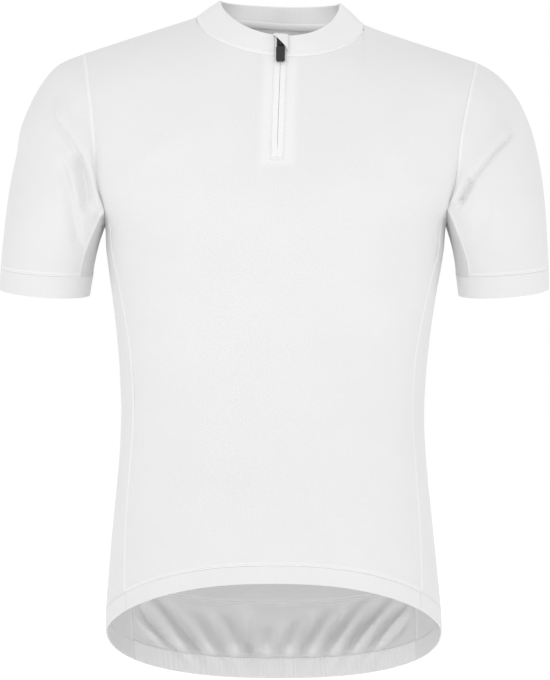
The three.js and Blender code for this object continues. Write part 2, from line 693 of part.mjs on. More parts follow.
function withFolds(grid, side) {
  const last = grid.points.length - 1;
  return moveOut(grid, (p, j) => (j === 0 || j === last ? 0 : foldHeight(p, side)));
}

function columnsOf(grid, from, to) {
  const take = (row) => {
    const list = [];
    for (let i = from; i <= to; i += 1) {
      list.push(row[i % row.length]);
    }
    return list;
  };
  return { points: grid.points.map(take), directions: grid.directions.map(take) };
}

// Panels that meet the armhole take its directions there, so the walls meet edge to edge
function shareArmholeDirections() {
  const last = frontPanel.directions[0].length - 1;
  const setSide = (panel, j, direction) => {
    panel.directions[j][last] = direction.clone();
    panel.directions[j][0] = new THREE.Vector3(-direction.x, direction.y, direction.z);
  };
  for (let j = 0; j <= ARMHOLE_ROWS; j += 1) {
    setSide(frontPanel, j, tube.directions[0][2 * (ARMHOLE_ROWS - j)]);
    setSide(backPanel, j, tube.directions[0][2 * (ARMHOLE_ROWS + j)]);
  }
  sidePanel.directions[0] = sidePanel.directions[0].map((direction, c) => {
    const count = tube.directions[0].length;
    return tube.directions[0][(GUSSET_START + SIDE_CELLS - c) % count].clone();
  });
}
shareArmholeDirections();

function cuffGrid() {
  const turns = tube.samples.filter(({ share }) => Number.isInteger(share)).map(({ turn }) => turn);
  const points = [];
  for (let j = 0; j <= CUFF_ROWS; j += 1) {
    points.push(turns.map((turn) => (
      cuffRing(CUFF_SEAM, turn).lerp(cuffRing(CUFF_EDGE, turn), j / CUFF_ROWS)
    )));
  }
  const outward = (p) => new THREE.Vector3(p.x - ARM_CENTRE.x, p.y - ARM_CENTRE.y, 0);
  return { points, directions: squareTo(points, outward, true) };
}

// Collar, from its left front edge round the back to its right front edge
function collarGrid() {
  const turns = [];
  for (let k = 0; k <= NECK_CELLS; k += 1) turns.push(neckTurn(k));
  for (let k = NECK_CELLS - 1; k >= 0; k -= 1) turns.push(Math.PI - neckTurn(k));
  const samples = turns.map((turn) => ({ turn, side: 1 }));
  samples.push(...turns.slice().reverse().map((turn) => ({ turn, side: -1 })));
  const points = [];
  for (let j = 0; j <= COLLAR_ROWS; j += 1) {
    points.push(samples.map(({ turn, side }) => {
      const above = Math.max(turn, FIRST_TOP_TURN);
      const p = collarPoint(turn, above, j / COLLAR_ROWS);
      return new THREE.Vector3(p.x * side, p.y, p.z);
    }));
  }
  const directions = squareTo(points, (p) => new THREE.Vector3(p.x, p.y - SIDE_Y, 0), false);
  directions[0] = samples.map(({ turn, side }) => {
    const direction = neckDirection(turn);
    return new THREE.Vector3(direction.x * side, direction.y, direction.z);
  });
  return { points, directions };
}

// A point on the front near the zip, by its place sideways and its level
function stripPoint(x, level) {
  if (level < 0) return bodyPoint(x, NECK_FRONT_Z + level, -1);
  const out = Math.abs(x);
  const p = collarPoint(Math.asin(out / NECK_HALF), Math.asin(out / COLLAR_TOP_HALF), level);
  return new THREE.Vector3(x, p.y, p.z);
}

const forwards = () => new THREE.Vector3(0, -1, 0);

function stripGrid(columns, levels) {
  const points = levels.map((level) => columns.map((x) => stripPoint(x, level)));
  return { points, directions: squareTo(points, forwards, false) };
}

// The fold of cloth over the top of the zip, which hides the slider
function garageGrid() {
  const points = [];
  const middle = (GARAGE.from + GARAGE.to) / 2;
  const base = stripGrid([0, 1], [1, GARAGE_EDGE.lowLevel]).directions[0][0];
  for (let j = 0; j <= GARAGE.rows; j += 1) {
    const down = j / GARAGE.rows;
    const row = [];
    for (let i = 0; i <= GARAGE.cells; i += 1) {
      const x = mix(GARAGE.from, GARAGE.to, i / GARAGE.cells);
      const slant = clamp((x - GARAGE_EDGE.highX) / (GARAGE_EDGE.lowX - GARAGE_EDGE.highX), 0, 1);
      const level = mix(1, mix(GARAGE_EDGE.highLevel, GARAGE_EDGE.lowLevel, slant), down);
      const across = Math.sqrt(1 - Math.abs((x - middle) / (GARAGE.to - middle)) ** 4);
      const ramp = Math.sqrt(1 - (1 - Math.min(down / GARAGE_TOP_SHARE, 1)) ** 2);
      const low = GARAGE.seat + GARAGE.cloth;
      row.push(stripPoint(x, level).addScaledVector(base, low + (GARAGE.proud - low) * across * ramp));
    }
    points.push(row);
  }
  return { points, directions: squareTo(points, forwards, false) };
}

// Pocket laid on the back panel, with its mouth standing a little open
function pocketGrid(pocket) {
  const points = [];
  const directions = [];
  for (let j = 0; j <= POCKET_ROWS; j += 1) {
    const down = j / POCKET_ROWS;
    const row = [];
    const directionRow = [];
    for (let i = 0; i <= POCKET_CELLS; i += 1) {
      const share = i / POCKET_CELLS;
      const x = mix(pocket.from, pocket.to, share);
      const foot = hemLine(x, 1, tailRise) + POCKET_FOOT;
      const p = bodyPoint(x, mix(mix(pocket.mouthFrom, pocket.mouthTo, share), foot, down), 1);
      const gape = POCKET_GAPE * Math.sin(Math.PI * share) * (1 - down) ** 2;
      const direction = bodyNormal(p);
      row.push(p.addScaledVector(direction, POCKET_SEAT + POCKET_CLOTH + gape));
      directionRow.push(direction);
    }
    points.push(row);
    directions.push(directionRow);
  }
  return { points, directions };
}

// Move the outer rows and columns of a grid off the seam line, along the wall that faces the seam
function insetEdges({ points, directions }, closed) {
  const moved = points.map((row) => row.map((p) => p.clone()));
  const lastRow = points.length - 1;
  const count = points[0].length;
  const push = (j, i, tangent, inward) => {
    const across = tangent.clone().cross(directions[j][i]).normalize();
    if (across.dot(inward) < 0) across.negate();
    moved[j][i].addScaledVector(across, SEAM_INSET);
  };
  for (let i = 0; i < count; i += 1) {
    const next = closed ? (i + 1) % count : Math.min(i + 1, count - 1);
    const before = closed ? (i + count - 1) % count : Math.max(i - 1, 0);
    for (const [j, inner] of [[0, 1], [lastRow, lastRow - 1]]) {
      const tangent = points[j][next].clone().sub(points[j][before]);
      push(j, i, tangent, points[inner][i].clone().sub(points[j][i]));
    }
  }
  for (let j = 0; j <= lastRow && !closed; j += 1) {
    const tangent = points[Math.min(j + 1, lastRow)].map((p, i) => p.clone().sub(points[Math.max(j - 1, 0)][i]));
    push(j, 0, tangent[0], points[j][1].clone().sub(points[j][0]));
    push(j, count - 1, tangent[count - 1], points[j][count - 2].clone().sub(points[j][count - 1]));
  }
  return moved;
}

function signedVolume(vertices, triangles) {
  let sum = 0;
  for (const [a, b, c] of triangles) {
    sum += vertices[a].dot(vertices[b].clone().cross(vertices[c])) / 6;
  }
  return sum;
}

function geometryOf(vertices, triangles) {
  const outward = signedVolume(vertices, triangles) > 0;
  const geometry = new THREE.BufferGeometry();
  geometry.setFromPoints(vertices);
  geometry.setIndex(triangles.flatMap(([a, b, c]) => (outward ? [a, b, c] : [a, c, b])));
  geometry.computeVertexNormals();
  return geometry;
}

// Which end of an edge comes first, so that two walls that meet split the edge between them alike
function isAbove(a, b) {
  return Math.abs(a.z - b.z) > 2 * SEAM_INSET ? a.z > b.z : a.y > b.y;
}

// How far the hang of the garment moves a point
function hangAt(p) {
  const drop = LEFT_DROP * Math.tanh(p.x / DROP_SPREAD) * lookUp(HANG, 'z', 'share', p.z);
  return new THREE.Vector3(lookUp(HANG, 'z', 'shift', p.z), 0, -drop);
}

// Closed wall of cloth behind a grid of points, with a rim along every open edge
function clothWall(grid, thickness, { closed = false, skip = () => false } = {}) {
  const outer = insetEdges(grid, closed);
  const rows = outer.length;
  const count = outer[0].length;
  const vertices = [];
  outer.forEach((row, j) => row.forEach((p, i) => {
    const inner = p.clone().addScaledVector(grid.directions[j][i], -thickness);
    const hang = hangAt(p);
    vertices.push(p.clone().add(hang), inner.add(hang));
  }));
  const cells = closed ? count : count - 1;
  const outerAt = (j, i) => 2 * (j * count + (i % count));
  const filled = (j, i) => {
    if (j < 0 || j >= rows - 1) return false;
    if (!closed && (i < 0 || i >= cells)) return false;
    return !skip(j, (i + cells) % cells);
  };
  const triangles = [];
  for (let j = 0; j < rows - 1; j += 1) {
    for (let i = 0; i < cells; i += 1) {
      if (!filled(j, i)) continue;
      const corners = [outerAt(j, i), outerAt(j + 1, i), outerAt(j + 1, i + 1), outerAt(j, i + 1)];
      const [a, b, c, d] = corners;
      triangles.push([a, b, c], [a, c, d], [a + 1, c + 1, b + 1], [a + 1, d + 1, c + 1]);
      const beside = [filled(j, i - 1), filled(j + 1, i), filled(j, i + 1), filled(j - 1, i)];
      beside.forEach((joined, k) => {
        if (joined) return;
        const p = corners[k];
        const q = corners[(k + 1) % 4];
        if (isAbove(vertices[p], vertices[q])) triangles.push([q, p, p + 1], [q, p + 1, q + 1]);
        else triangles.push([q, p, q + 1], [p, p + 1, q + 1]);
      });
    }
  }
  return geometryOf(vertices, triangles);
}

function mirrored({ points, directions }) {
  const flip = (v) => new THREE.Vector3(-v.x, v.y, v.z);
  return { points: points.map((row) => row.map(flip)), directions: directions.map((row) => row.map(flip)) };
}

// Solid pieces that are joined or cut
function solidOf(geometry) {
  geometry.deleteAttribute('normal');
  geometry.deleteAttribute('uv');
  const merged = mergeVertices(geometry, WELD);
  return new wasm.Manifold(new wasm.Mesh({
    numProp: 3,
    vertProperties: new Float32Array(merged.attributes.position.array),
    triVerts: new Uint32Array(merged.index.array),
  }));
}

function solidGeometry(solid) {
  const mesh = solid.getMesh();
  const geometry = new THREE.BufferGeometry();
  geometry.setAttribute('position', new THREE.BufferAttribute(new Float32Array(mesh.vertProperties), 3));
  geometry.setIndex(new THREE.BufferAttribute(new Uint32Array(mesh.triVerts), 1));
  geometry.computeVertexNormals();
  return geometry;
}

// Outline across and down the zip, with rounded corners; down is minus Y of the shape
function tabOutline({ top, bottom, topHalf, bottomHalf, corner }) {
  const shape = new THREE.Shape();
  const round = (x, y, nextX, nextY) => shape.quadraticCurveTo(x, y, nextX, nextY);
  shape.moveTo(-topHalf + corner, top);
  shape.lineTo(topHalf - corner, top);
  round(topHalf, top, topHalf, top - corner);
  shape.lineTo(bottomHalf, -bottom + corner);
  round(bottomHalf, -bottom, bottomHalf - corner, -bottom);
  shape.lineTo(-bottomHalf + corner, -bottom);
  round(-bottomHalf, -bottom, -bottomHalf, -bottom + corner);
  shape.lineTo(-topHalf, top - corner);
  round(-topHalf, top, -topHalf + corner, top);
  return shape;
}

// Plate cut from an outline, standing out from a given height along minus Y
function plate(shape, from, thick, bevel = 0) {
  const geometry = new THREE.ExtrudeGeometry(shape, {
    depth: thick - 2 * bevel,
    curveSegments: 5,
    bevelEnabled: bevel > 0,
    bevelThickness: bevel,
    bevelSize: bevel,
    bevelOffset: -bevel,
    bevelSegments: 2,
  });
  geometry.translate(0, 0, from + bevel);
  geometry.rotateX(Math.PI / 2);
  return solidOf(geometry);
}

// The bridge over the slider, drawn from the side: out from the zip, and up it
function bailSolid() {
  const shape = new THREE.Shape();
  const { top, bottom, height, wire, root, corner, half } = BAIL;
  const innerCorner = corner - wire / 2;
  shape.moveTo(root, top);
  shape.lineTo(height - corner, top);
  shape.quadraticCurveTo(height, top, height, top - corner);
  shape.lineTo(height, -bottom + corner);
  shape.quadraticCurveTo(height, -bottom, height - corner, -bottom);
  shape.lineTo(root, -bottom);
  shape.lineTo(root, -bottom + wire);
  shape.lineTo(height - wire - innerCorner, -bottom + wire);
  shape.quadraticCurveTo(height - wire, -bottom + wire, height - wire, -bottom + wire + innerCorner);
  shape.lineTo(height - wire, top - wire - innerCorner);
  shape.quadraticCurveTo(height - wire, top - wire, height - wire - innerCorner, top - wire);
  shape.lineTo(root, top - wire);
  const geometry = new THREE.ExtrudeGeometry(shape, { depth: 2 * half, curveSegments: 4, bevelEnabled: false });
  geometry.translate(0, 0, -half);
  geometry.rotateX(Math.PI / 2);
  geometry.rotateZ(-Math.PI / 2);
  return solidOf(geometry);
}

function sliderGeometry() {
  return solidGeometry(plate(tabOutline(SLIDER), 0, SLIDER.thick).add(bailSolid()));
}

// The pull tab about its own pivot: a slotted head on the bail and a moulded grip below it
function pullGeometry() {
  const headShape = tabOutline({ ...PULL_HEAD, topHalf: PULL_HEAD.half, bottomHalf: PULL_HEAD.half });
  const hole = new THREE.Path();
  hole.moveTo(-PULL_SLOT.half, PULL_SLOT.top);
  hole.lineTo(-PULL_SLOT.half, -PULL_SLOT.bottom);
  hole.lineTo(PULL_SLOT.half, -PULL_SLOT.bottom);
  hole.lineTo(PULL_SLOT.half, PULL_SLOT.top);
  headShape.holes.push(hole);
  const head = plate(headShape, -PULL_HEAD.thick / 2, PULL_HEAD.thick);
  const grip = { ...PULL_GRIP, top: -PULL_GRIP.top, topHalf: PULL_GRIP.half, bottomHalf: PULL_GRIP.half };
  return solidGeometry(head.add(plate(tabOutline(grip), -PULL_GRIP.thick / 2, PULL_GRIP.thick, PULL_GRIP.bevel)));
}

const jersey = new THREE.Group();

function add(name, geometry, finish, parent = jersey) {
  const mesh = new THREE.Mesh(geometry, new THREE.MeshStandardMaterial(finish));
  mesh.name = name;
  parent.add(mesh);
}

function addPair(name, grid, thickness, finish, options) {
  add(`${name}_left`, clothWall(grid, thickness, options), finish);
  add(`${name}_right`, clothWall(mirrored(grid), thickness, options), finish);
}

function addBody() {
  const slot = (j, i) => i === CENTRE_CELL && j < SLOT_ROWS;
  add('front_panel', clothWall(frontPanel, CLOTH, { skip: slot }), MESH_WHITE);
  add('back_panel', clothWall(backPanel, CLOTH), MESH_WHITE);
  addPair('side_panel', sidePanel, CLOTH, MESH_WHITE);
  add('front_hem', clothWall(hemStrip(-1, bandRise, noRise, 1, PANEL_COLUMNS), DOUBLE_CLOTH), BAND_WHITE);
  addPair('side_hem', sideHem, DOUBLE_CLOTH, BAND_WHITE);
}

function addTail() {
  const inwards = (p) => -tailCrease(p);
  const tail = hemStrip(1, tailRise, bandRise, TAIL_ROWS, subdivided(PANEL_COLUMNS, 2));
  add('back_tail', clothWall(moveOut(tail, inwards), CLOTH), MESH_WHITE);
  const columns = evenColumns(2 * GATHERS, seamX(hemCorner(1, bandRise)));
  const band = hemStrip(1, bandRise, noRise, 1, columns);
  const gathered = (p, j, i) => {
    const edge = Math.min(i, 2 * GATHERS - i, 1);
    const crease = j === 0 ? -tailCrease(p) : 0;
    return crease + edge * (i % 2 === 0 ? GATHER_DEPTH : -GATHER_DEPTH);
  };
  add('back_hem_band', clothWall(moveOut(band, gathered), DOUBLE_CLOTH), BAND_WHITE);
}

function addSleeves() {
  const last = GUSSET_START + SIDE_CELLS;
  for (const [side, word] of [[1, 'left'], [-1, 'right']]) {
    const folded = withFolds(tube, side);
    const turned = side > 0 ? folded : mirrored(folded);
    add(`sleeve_${word}`, clothWall(columnsOf(turned, 0, GUSSET_START), CLOTH), MESH_WHITE);
    add(`sleeve_gusset_${word}`, clothWall(columnsOf(turned, GUSSET_START, last), CLOTH), UNDERARM_WHITE);
  }
  addPair('cuff', cuffGrid(), DOUBLE_CLOTH, BAND_WHITE, { closed: true });
}

function addPockets() {
  for (const pocket of POCKETS) {
    add(pocket.name, clothWall(pocketGrid(pocket), POCKET_CLOTH), MESH_WHITE);
  }
}

function addZip() {
  const tape = moveOut(stripGrid([TAPE_INNER, TAPE_OUTER], TAPE_LEVELS), -TAPE_RECESS);
  addPair('zip_tape', tape, TAPE_CLOTH, TAPE_WHITE);
  const columns = [-1, -0.5, 0, 0.5, 1].map((share) => share * GUARD_HALF);
  add('zip_guard', clothWall(moveOut(stripGrid(columns, GUARD_LEVELS), -GUARD_RECESS), GUARD_CLOTH), BAND_WHITE);
  add('zip_garage', clothWall(garageGrid(), GARAGE.cloth), BAND_WHITE);
  const slider = new THREE.Group();
  const seat = stripPoint(0, PIVOT_LEVEL);
  const above = stripPoint(0, 1);
  slider.position.copy(seat);
  slider.rotation.x = -Math.atan2(above.y - seat.y, above.z - seat.z);
  jersey.add(slider);
  add('zip_slider', sliderGeometry(), MOULDED_GREY, slider);
  const pull = new THREE.Group();
  pull.position.y = -PIVOT_OUT;
  pull.rotation.x = PULL_LEAN * RADIANS;
  slider.add(pull);
  add('zip_pull', pullGeometry(), MOULDED_GREY, pull);
}

addBody();
addTail();
addSleeves();
add('collar', clothWall(collarGrid(), DOUBLE_CLOTH), BAND_WHITE);
addPockets();
addZip();

export default jersey;
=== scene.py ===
import json
import logging
import math
from collections.abc import Callable, Sequence
from dataclasses import dataclass, field
from enum import Enum

import bpy
import numpy as np
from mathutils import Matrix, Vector
from mathutils.bvhtree import BVHTree
from mathutils.kdtree import KDTree


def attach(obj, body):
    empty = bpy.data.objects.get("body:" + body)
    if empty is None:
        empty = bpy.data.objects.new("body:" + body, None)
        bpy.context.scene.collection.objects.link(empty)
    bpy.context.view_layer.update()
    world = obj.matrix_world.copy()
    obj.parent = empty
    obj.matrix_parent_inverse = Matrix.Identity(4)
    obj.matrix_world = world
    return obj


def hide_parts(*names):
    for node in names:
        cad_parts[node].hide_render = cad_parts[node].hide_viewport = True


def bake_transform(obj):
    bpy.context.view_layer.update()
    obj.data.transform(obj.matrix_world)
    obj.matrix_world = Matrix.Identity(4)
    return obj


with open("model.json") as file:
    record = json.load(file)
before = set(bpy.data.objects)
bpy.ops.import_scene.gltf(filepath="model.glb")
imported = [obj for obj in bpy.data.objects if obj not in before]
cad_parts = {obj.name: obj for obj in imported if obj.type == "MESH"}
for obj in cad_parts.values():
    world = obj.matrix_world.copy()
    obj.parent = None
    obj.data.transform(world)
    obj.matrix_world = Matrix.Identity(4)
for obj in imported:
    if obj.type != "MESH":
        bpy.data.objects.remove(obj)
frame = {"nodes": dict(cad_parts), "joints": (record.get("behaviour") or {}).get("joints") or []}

# Looks of a white short-sleeved cycling jersey, filled out as it is worn, with nobody in it.
# The forms below are in millimetres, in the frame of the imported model, and each mesh is turned to
# metres as it is made. Left and right are the wearer's.

Array = np.ndarray
LOG = logging.getLogger("jersey")
MM = 0.001

# Place of the body's side line behind the origin
SIDE_Y = 12.0
# Seam relief: how far it reaches in from an edge before the cloth moves freely, how softly a
# seam allowance ends, how much it lifts the cloth, and how fast it does so beside the seam
STEADY_WIDTH, ALLOWANCE_EDGE, ALLOWANCE_LIFT, SEAM_RISE = 13.0, 2.2, 0.3, 1.2
# Points of a mesh nearer than this are one, in metres
WELD_DISTANCE = 0.00002
# Edges of a wall sharper than this are rounded, in degrees
RIM_ANGLE = 55
# Body form by height: height, half width, depth in front, depth behind, squareness
BODY_LEVELS = (
    (10, 238, 52, 66, 2.6), (-46, 240, 80, 92, 2.6), (-100, 240, 106, 105, 2.6),
    (-142, 236, 122, 112, 2.6), (-190, 222, 133, 113, 2.6), (-216, 204.5, 136, 111, 2.52),
    (-231, 197, 137, 109, 2.45), (-265, 194, 137, 105, 2.4), (-320, 186, 134, 97, 2.3),
    (-375, 179, 129, 89, 2.3), (-430, 175, 125, 84, 2.3), (-467, 175, 124, 84, 2.3),
    (-510, 177.5, 124, 88, 2.3), (-578, 184, 127, 98, 2.3), (-651, 191, 131, 109, 2.3),
    (-703, 194, 133, 114, 2.3), (-770, 193, 134, 116, 2.3),
)
# Hang by height: height, shift to the wearer's left, share of the left shoulder's drop
HANG_LEVELS = (
    (25, 0, 0.4), (0, 0, 1), (-46, 0, 1), (-60, -0.3, 0.95), (-150, -3.5, 0), (-260, -6, 0),
    (-430, -8.6, 0), (-700, -7.4, 0), (-780, -2, 0),
)
# Armhole seam: height, how far out in front, how far out behind
ARMHOLE_LEVELS = (
    (-40, 224, 224), (-60, 219.5, 219.5), (-85, 214.5, 215), (-110, 210, 211.5),
    (-142, 205.5, 208.5), (-190, 202, 203), (-216, 194.5, 194.5),
)
# Side seam: height, share of the half width
SIDE_SEAM_LEVELS = (
    (-216, 0.951), (-231, 0.958), (-265, 0.953), (-290, 0.938), (-333, 0.918), (-389, 0.9),
    (-450, 0.9), (-510, 0.906), (-560, 0.903), (-617, 0.886), (-664, 0.868), (-703, 0.86),
    (-770, 0.855),
)


class Face(Enum):
    """Which half of the body a panel lies on."""

    FRONT = -1
    BACK = 1


class Side(Enum):
    """The wearer's side."""

    LEFT = 1
    RIGHT = -1

    @property
    def word(self) -> str:
        """The side's name in lower case."""
        return self.name.lower()


class Edge(Enum):
    """An edge of a cloth grid: its first or last row, or its first or last column."""

    TOP = "top"
    BOTTOM = "bottom"
    START = "start"
    END = "end"


class Line:
    """A smooth line through the rows of a table, level beyond its ends."""

    def __init__(self, rows: Sequence[Sequence[float]], column: int) -> None:
        """Reads one column of a table against its first.

        Args:
            rows: the table's rows, with the place of each row first.
            column: the column to read.
        """
        table = np.array(sorted((row[0], row[column]) for row in rows), float)
        self.at, self.values = table[:, 0], table[:, 1]
        index = np.arange(len(table))
        low, high = np.maximum(index - 1, 0), np.minimum(index + 1, len(table) - 1)
        self.slopes = (self.values[high] - self.values[low]) / (self.at[high] - self.at[low])

    def __call__(self, place: Array | float) -> Array:
        """Gives the line's value at each place.

        Args:
            place: where to read the line.

        Returns:
            The values there.
        """
        x = np.clip(place, self.at[0], self.at[-1])
        i = np.clip(np.searchsorted(self.at, x) - 1, 0, len(self.at) - 2)
        span = self.at[i + 1] - self.at[i]
        t = (x - self.at[i]) / span
        leave, arrive = self.slopes[i] * span, self.slopes[i + 1] * span
        return hermite(self.values[i], leave, self.values[i + 1], arrive, t)


def hermite(p0: Array, m0: Array, p1: Array, m1: Array, t: Array) -> Array:
    """Runs smoothly from one point to another.

    Args:
        p0: the first point.
        m0: the direction in which it is left.
        p1: the second point.
        m1: the direction in which it is reached.
        t: the share of the way.

    Returns:
        The place on the way.
    """
    t2, t3 = t * t, t * t * t
    return (2 * t3 - 3 * t2 + 1) * p0 + (t3 - 2 * t2 + t) * m0 + (3 * t2 - 2 * t3) * p1 + (t3 - t2) * m1


def mix(a: Array | float, b: Array | float, share: Array | float) -> Array:
    """The value that share of the way from a to b."""
    return a + (b - a) * share


def smooth(value: Array | float) -> Array:
    """Rises softly from 0 to 1 as the value does."""
    t = np.clip(value, 0, 1)
    return t * t * (3 - 2 * t)


def unit(vectors: Array) -> Array:
    """The same directions, one long."""
    return vectors / np.maximum(np.linalg.norm(vectors, axis=-1, keepdims=True), 1e-9)


def point(x: Array, y: Array, z: Array) -> Array:
    """Points from three arrays that broadcast together."""
    return np.stack(np.broadcast_arrays(x, y, z), axis=-1).astype(float)


HALF_WIDTH, DEPTH_FRONT, DEPTH_BACK, SQUARE = (Line(BODY_LEVELS, k) for k in (1, 2, 3, 4))
HANG_SHIFT, HANG_SHARE = Line(HANG_LEVELS, 1), Line(HANG_LEVELS, 2)
ARMHOLE = {Face.FRONT: Line(ARMHOLE_LEVELS, 1), Face.BACK: Line(ARMHOLE_LEVELS, 2)}
SIDE_SHARE = Line(SIDE_SEAM_LEVELS, 1)
DEPTH = {Face.FRONT: DEPTH_FRONT, Face.BACK: DEPTH_BACK}


@dataclass(frozen=True)
class Torso:
    """The filled-out form of the body, neck and collar, which the panels lie on."""

    neck_half: float = 96.5
    shoulder_half: float = 224.0
    ridge_top: float = 1.2
    slope: float = 0.325
    neck_rise: float = 0.002
    neck_rise_end: float = 118.0
    neck_front_z: float = -46.0
    neck_back_rise: float = 1.25
    underarm_z: float = -216.0
    underarm_dip: float = 15.0
    hem_side_z: float = -703.0
    hem_swing: float = 66.0
    tail_rise: float = 89.0
    collar_half: float = 69.0
    collar_back: float = 58.0
    collar_z: float = 25.0
    collar_dip: float = 46.0
    left_drop: float = 5.0
    drop_spread: float = 70.0

    def ridge(self, x: Array) -> Array:
        """Height of the shoulder line at each place sideways."""
        out = np.abs(x)
        near = np.maximum(self.neck_rise_end - out, 0)
        return self.ridge_top - self.slope * (out - self.neck_half) + self.neck_rise * near**2

    def rounding(self, x: Array, z: Array) -> Array:
        """How far the body has rounded over below the shoulder line, from 0 to 1."""
        t = (np.abs(x) - self.neck_half) / (self.shoulder_half - self.neck_half)
        spread = (t + np.sqrt(t * t + 0.01)) / 2
        drop = np.clip((self.ridge(x) - z) / mix(75.0, 52.0, spread), 0, 1)
        return np.sqrt(1 - (1 - drop) ** 2)

    def surface(self, x: Array, z: Array, face: Face) -> Array:
        """Points of the body's surface.

        Args:
            x: places sideways.
            z: heights.
            face: the half of the body.

        Returns:
            The points.
        """
        square = SQUARE(z)
        reach = np.minimum(np.abs(x) / HALF_WIDTH(z), 1)
        depth = DEPTH[face](z) * self.rounding(x, z)
        return point(x, SIDE_Y + face.value * depth * (1 - reach**square) ** (1 / square), z)

    def side(self, angle: Array, z: Array) -> Array:
        """Points of the surface by the angle from the side line, for the wearer's left."""
        power = 2 / SQUARE(z)
        depth = np.where(angle < 0, DEPTH_FRONT(z), DEPTH_BACK(z))
        y = SIDE_Y + np.sign(angle) * depth * np.abs(np.sin(angle)) ** power
        return point(HALF_WIDTH(z) * np.cos(angle) ** power, y, z)

    def seam_x(self, z: Array) -> Array:
        """How far out the side seam lies."""
        return SIDE_SHARE(z) * HALF_WIDTH(z)

    def seam_angle(self, z: Array) -> Array:
        """Angle of the side seam from the side line."""
        return np.arccos(SIDE_SHARE(z) ** (SQUARE(z) / 2))

    def hem_height(self, sine: Array) -> Array:
        """Height of the hem by the sine of the angle from the side line."""
        power = np.where(np.asarray(sine) < 0, 1.15, 0.85)
        return self.hem_side_z - np.sign(sine) * self.hem_swing * np.abs(sine) ** power

    def band_rise(self, sine: Array) -> Array:
        """Height of the hem bands."""
        return 22 + 2 * np.asarray(sine)

    def hem_line(self, x: Array, face: Face, rise: Callable[[Array], Array]) -> Array:
        """Height of a line that runs along the hem.

        Args:
            x: places sideways.
            face: the half of the body.
            rise: how far the line lies above the hem, by the sine.

        Returns:
            The heights.
        """
        z = np.full(np.shape(x), self.hem_side_z)
        for _ in range(12):
            reach = np.minimum(np.abs(x) / HALF_WIDTH(z), 1)
            sine = face.value * np.sqrt(1 - reach ** SQUARE(z))
            z = self.hem_height(sine) + rise(sine)
        return z

    def hem_corner(self, face: Face, rise: Callable[[Array], Array]) -> float:
        """Height of the same line where it meets the side seam."""
        z = self.hem_side_z
        for _ in range(12):
            sine = face.value * np.sin(self.seam_angle(z))
            z = float(self.hem_height(sine) + rise(sine))
        return z

    def neck(self, turn: Array) -> Array:
        """Points of the neck seam by the turn from the front centre round to the back."""
        cosine = np.cos(turn)
        x = self.neck_half * np.sin(turn)
        side_z = float(self.ridge(np.array(self.neck_half)))
        front = self.surface(x, mix(side_z, self.neck_front_z, np.maximum(cosine, 0)), Face.FRONT)
        back = self.surface(x, side_z + self.neck_back_rise * cosine**2, Face.BACK)
        return np.where(cosine[..., None] > 0, front, back)

    def collar_top(self, turn: Array) -> Array:
        """Points of the collar's top edge by the same turn."""
        cosine = np.cos(turn)
        forward = np.where(cosine > 0, self.collar_half * cosine, self.collar_back * cosine)
        dip = self.collar_dip * np.maximum(cosine, 0) ** 1.1
        return point(self.collar_half * np.sin(turn), SIDE_Y - forward, self.collar_z - dip)

    def collar(self, below: Array, above: Array, share: Array) -> Array:
        """Points of the collar.

        Args:
            below: turns at the neck seam.
            above: turns at the top edge.
            share: the share of the collar's height.

        Returns:
            The points.
        """
        out = point(np.sin(below), -np.cos(below), np.zeros_like(below))
        bow = 0.7 * np.sin(np.pi * share)
        way = np.asarray(share)[..., None]
        return mix(self.neck(below), self.collar_top(above), way) + out * np.asarray(bow)[..., None]

    def strip(self, x: Array, level: Array) -> Array:
        """Points near the zip.

        Args:
            x: places sideways.
            level: above 0, the share of the collar's height; below 0, millimetres under the seam.

        Returns:
            The points.
        """
        x, level = np.broadcast_arrays(np.asarray(x, float), np.asarray(level, float))
        low = self.surface(x, self.neck_front_z + np.minimum(level, 0), Face.FRONT)
        out = np.abs(x)
        below, above = np.arcsin(out / self.neck_half), np.arcsin(out / self.collar_half)
        high = self.collar(below, above, np.maximum(level, 0))
        high[..., 0] = x
        return np.where(level[..., None] < 0, low, high)

    def hung(self, points: Array) -> Array:
        """The points where the garment hangs, a little off centre."""
        x, z = points[..., 0], points[..., 2]
        drop = self.left_drop * np.tanh(x / self.drop_spread) * HANG_SHARE(z)
        return points + point(HANG_SHIFT(z), 0.0, -drop)


TORSO = Torso()


def no_rise(sine: Array) -> Array:
    """The hem's own edge."""
    return 0 * np.asarray(sine)


def tail_rise(sine: Array) -> Array:
    """The seam across the back at the foot of the pockets."""
    return TORSO.tail_rise + 0 * np.asarray(sine)


def near_edges(length: float, pitch: float, start: bool = True, end: bool = True) -> Array:
    """Shares of a length, close together near its seams and even between them.

    Args:
        length: the length in millimetres.
        pitch: the even spacing in millimetres.
        start: whether the first end is a seam.
        end: whether the last end is one.

    Returns:
        The shares, from 0 to 1.
    """
    close = np.array([0, 1.1, 2.2, 3.6, 5, 6.4, 8]) / length
    first = close if start else np.array([0.0])
    last = 1 - close[::-1] if end else np.array([1.0])
    count = max(2, math.ceil((last[0] - first[-1]) * length / pitch))
    return np.concatenate([first, np.linspace(first[-1], last[0], count + 1)[1:-1], last])


def grid_normals(points: Array, inside: Array) -> Array:
    """Directions square to a grid, away from what it encloses.

    Args:
        points: the grid.
        inside: a point, or one for each place of the grid.

    Returns:
        The directions.
    """
    across = np.gradient(points, axis=1)
    if np.allclose(points[:, 0], points[:, -1], atol=1e-4):
        across[:, 0] = across[:, -1] = points[:, 1] - points[:, -2]
    normals = unit(np.cross(across, np.gradient(points, axis=0)))
    away = np.sum(normals * (points - inside), axis=-1)
    return normals if away.sum() > 0 else -normals


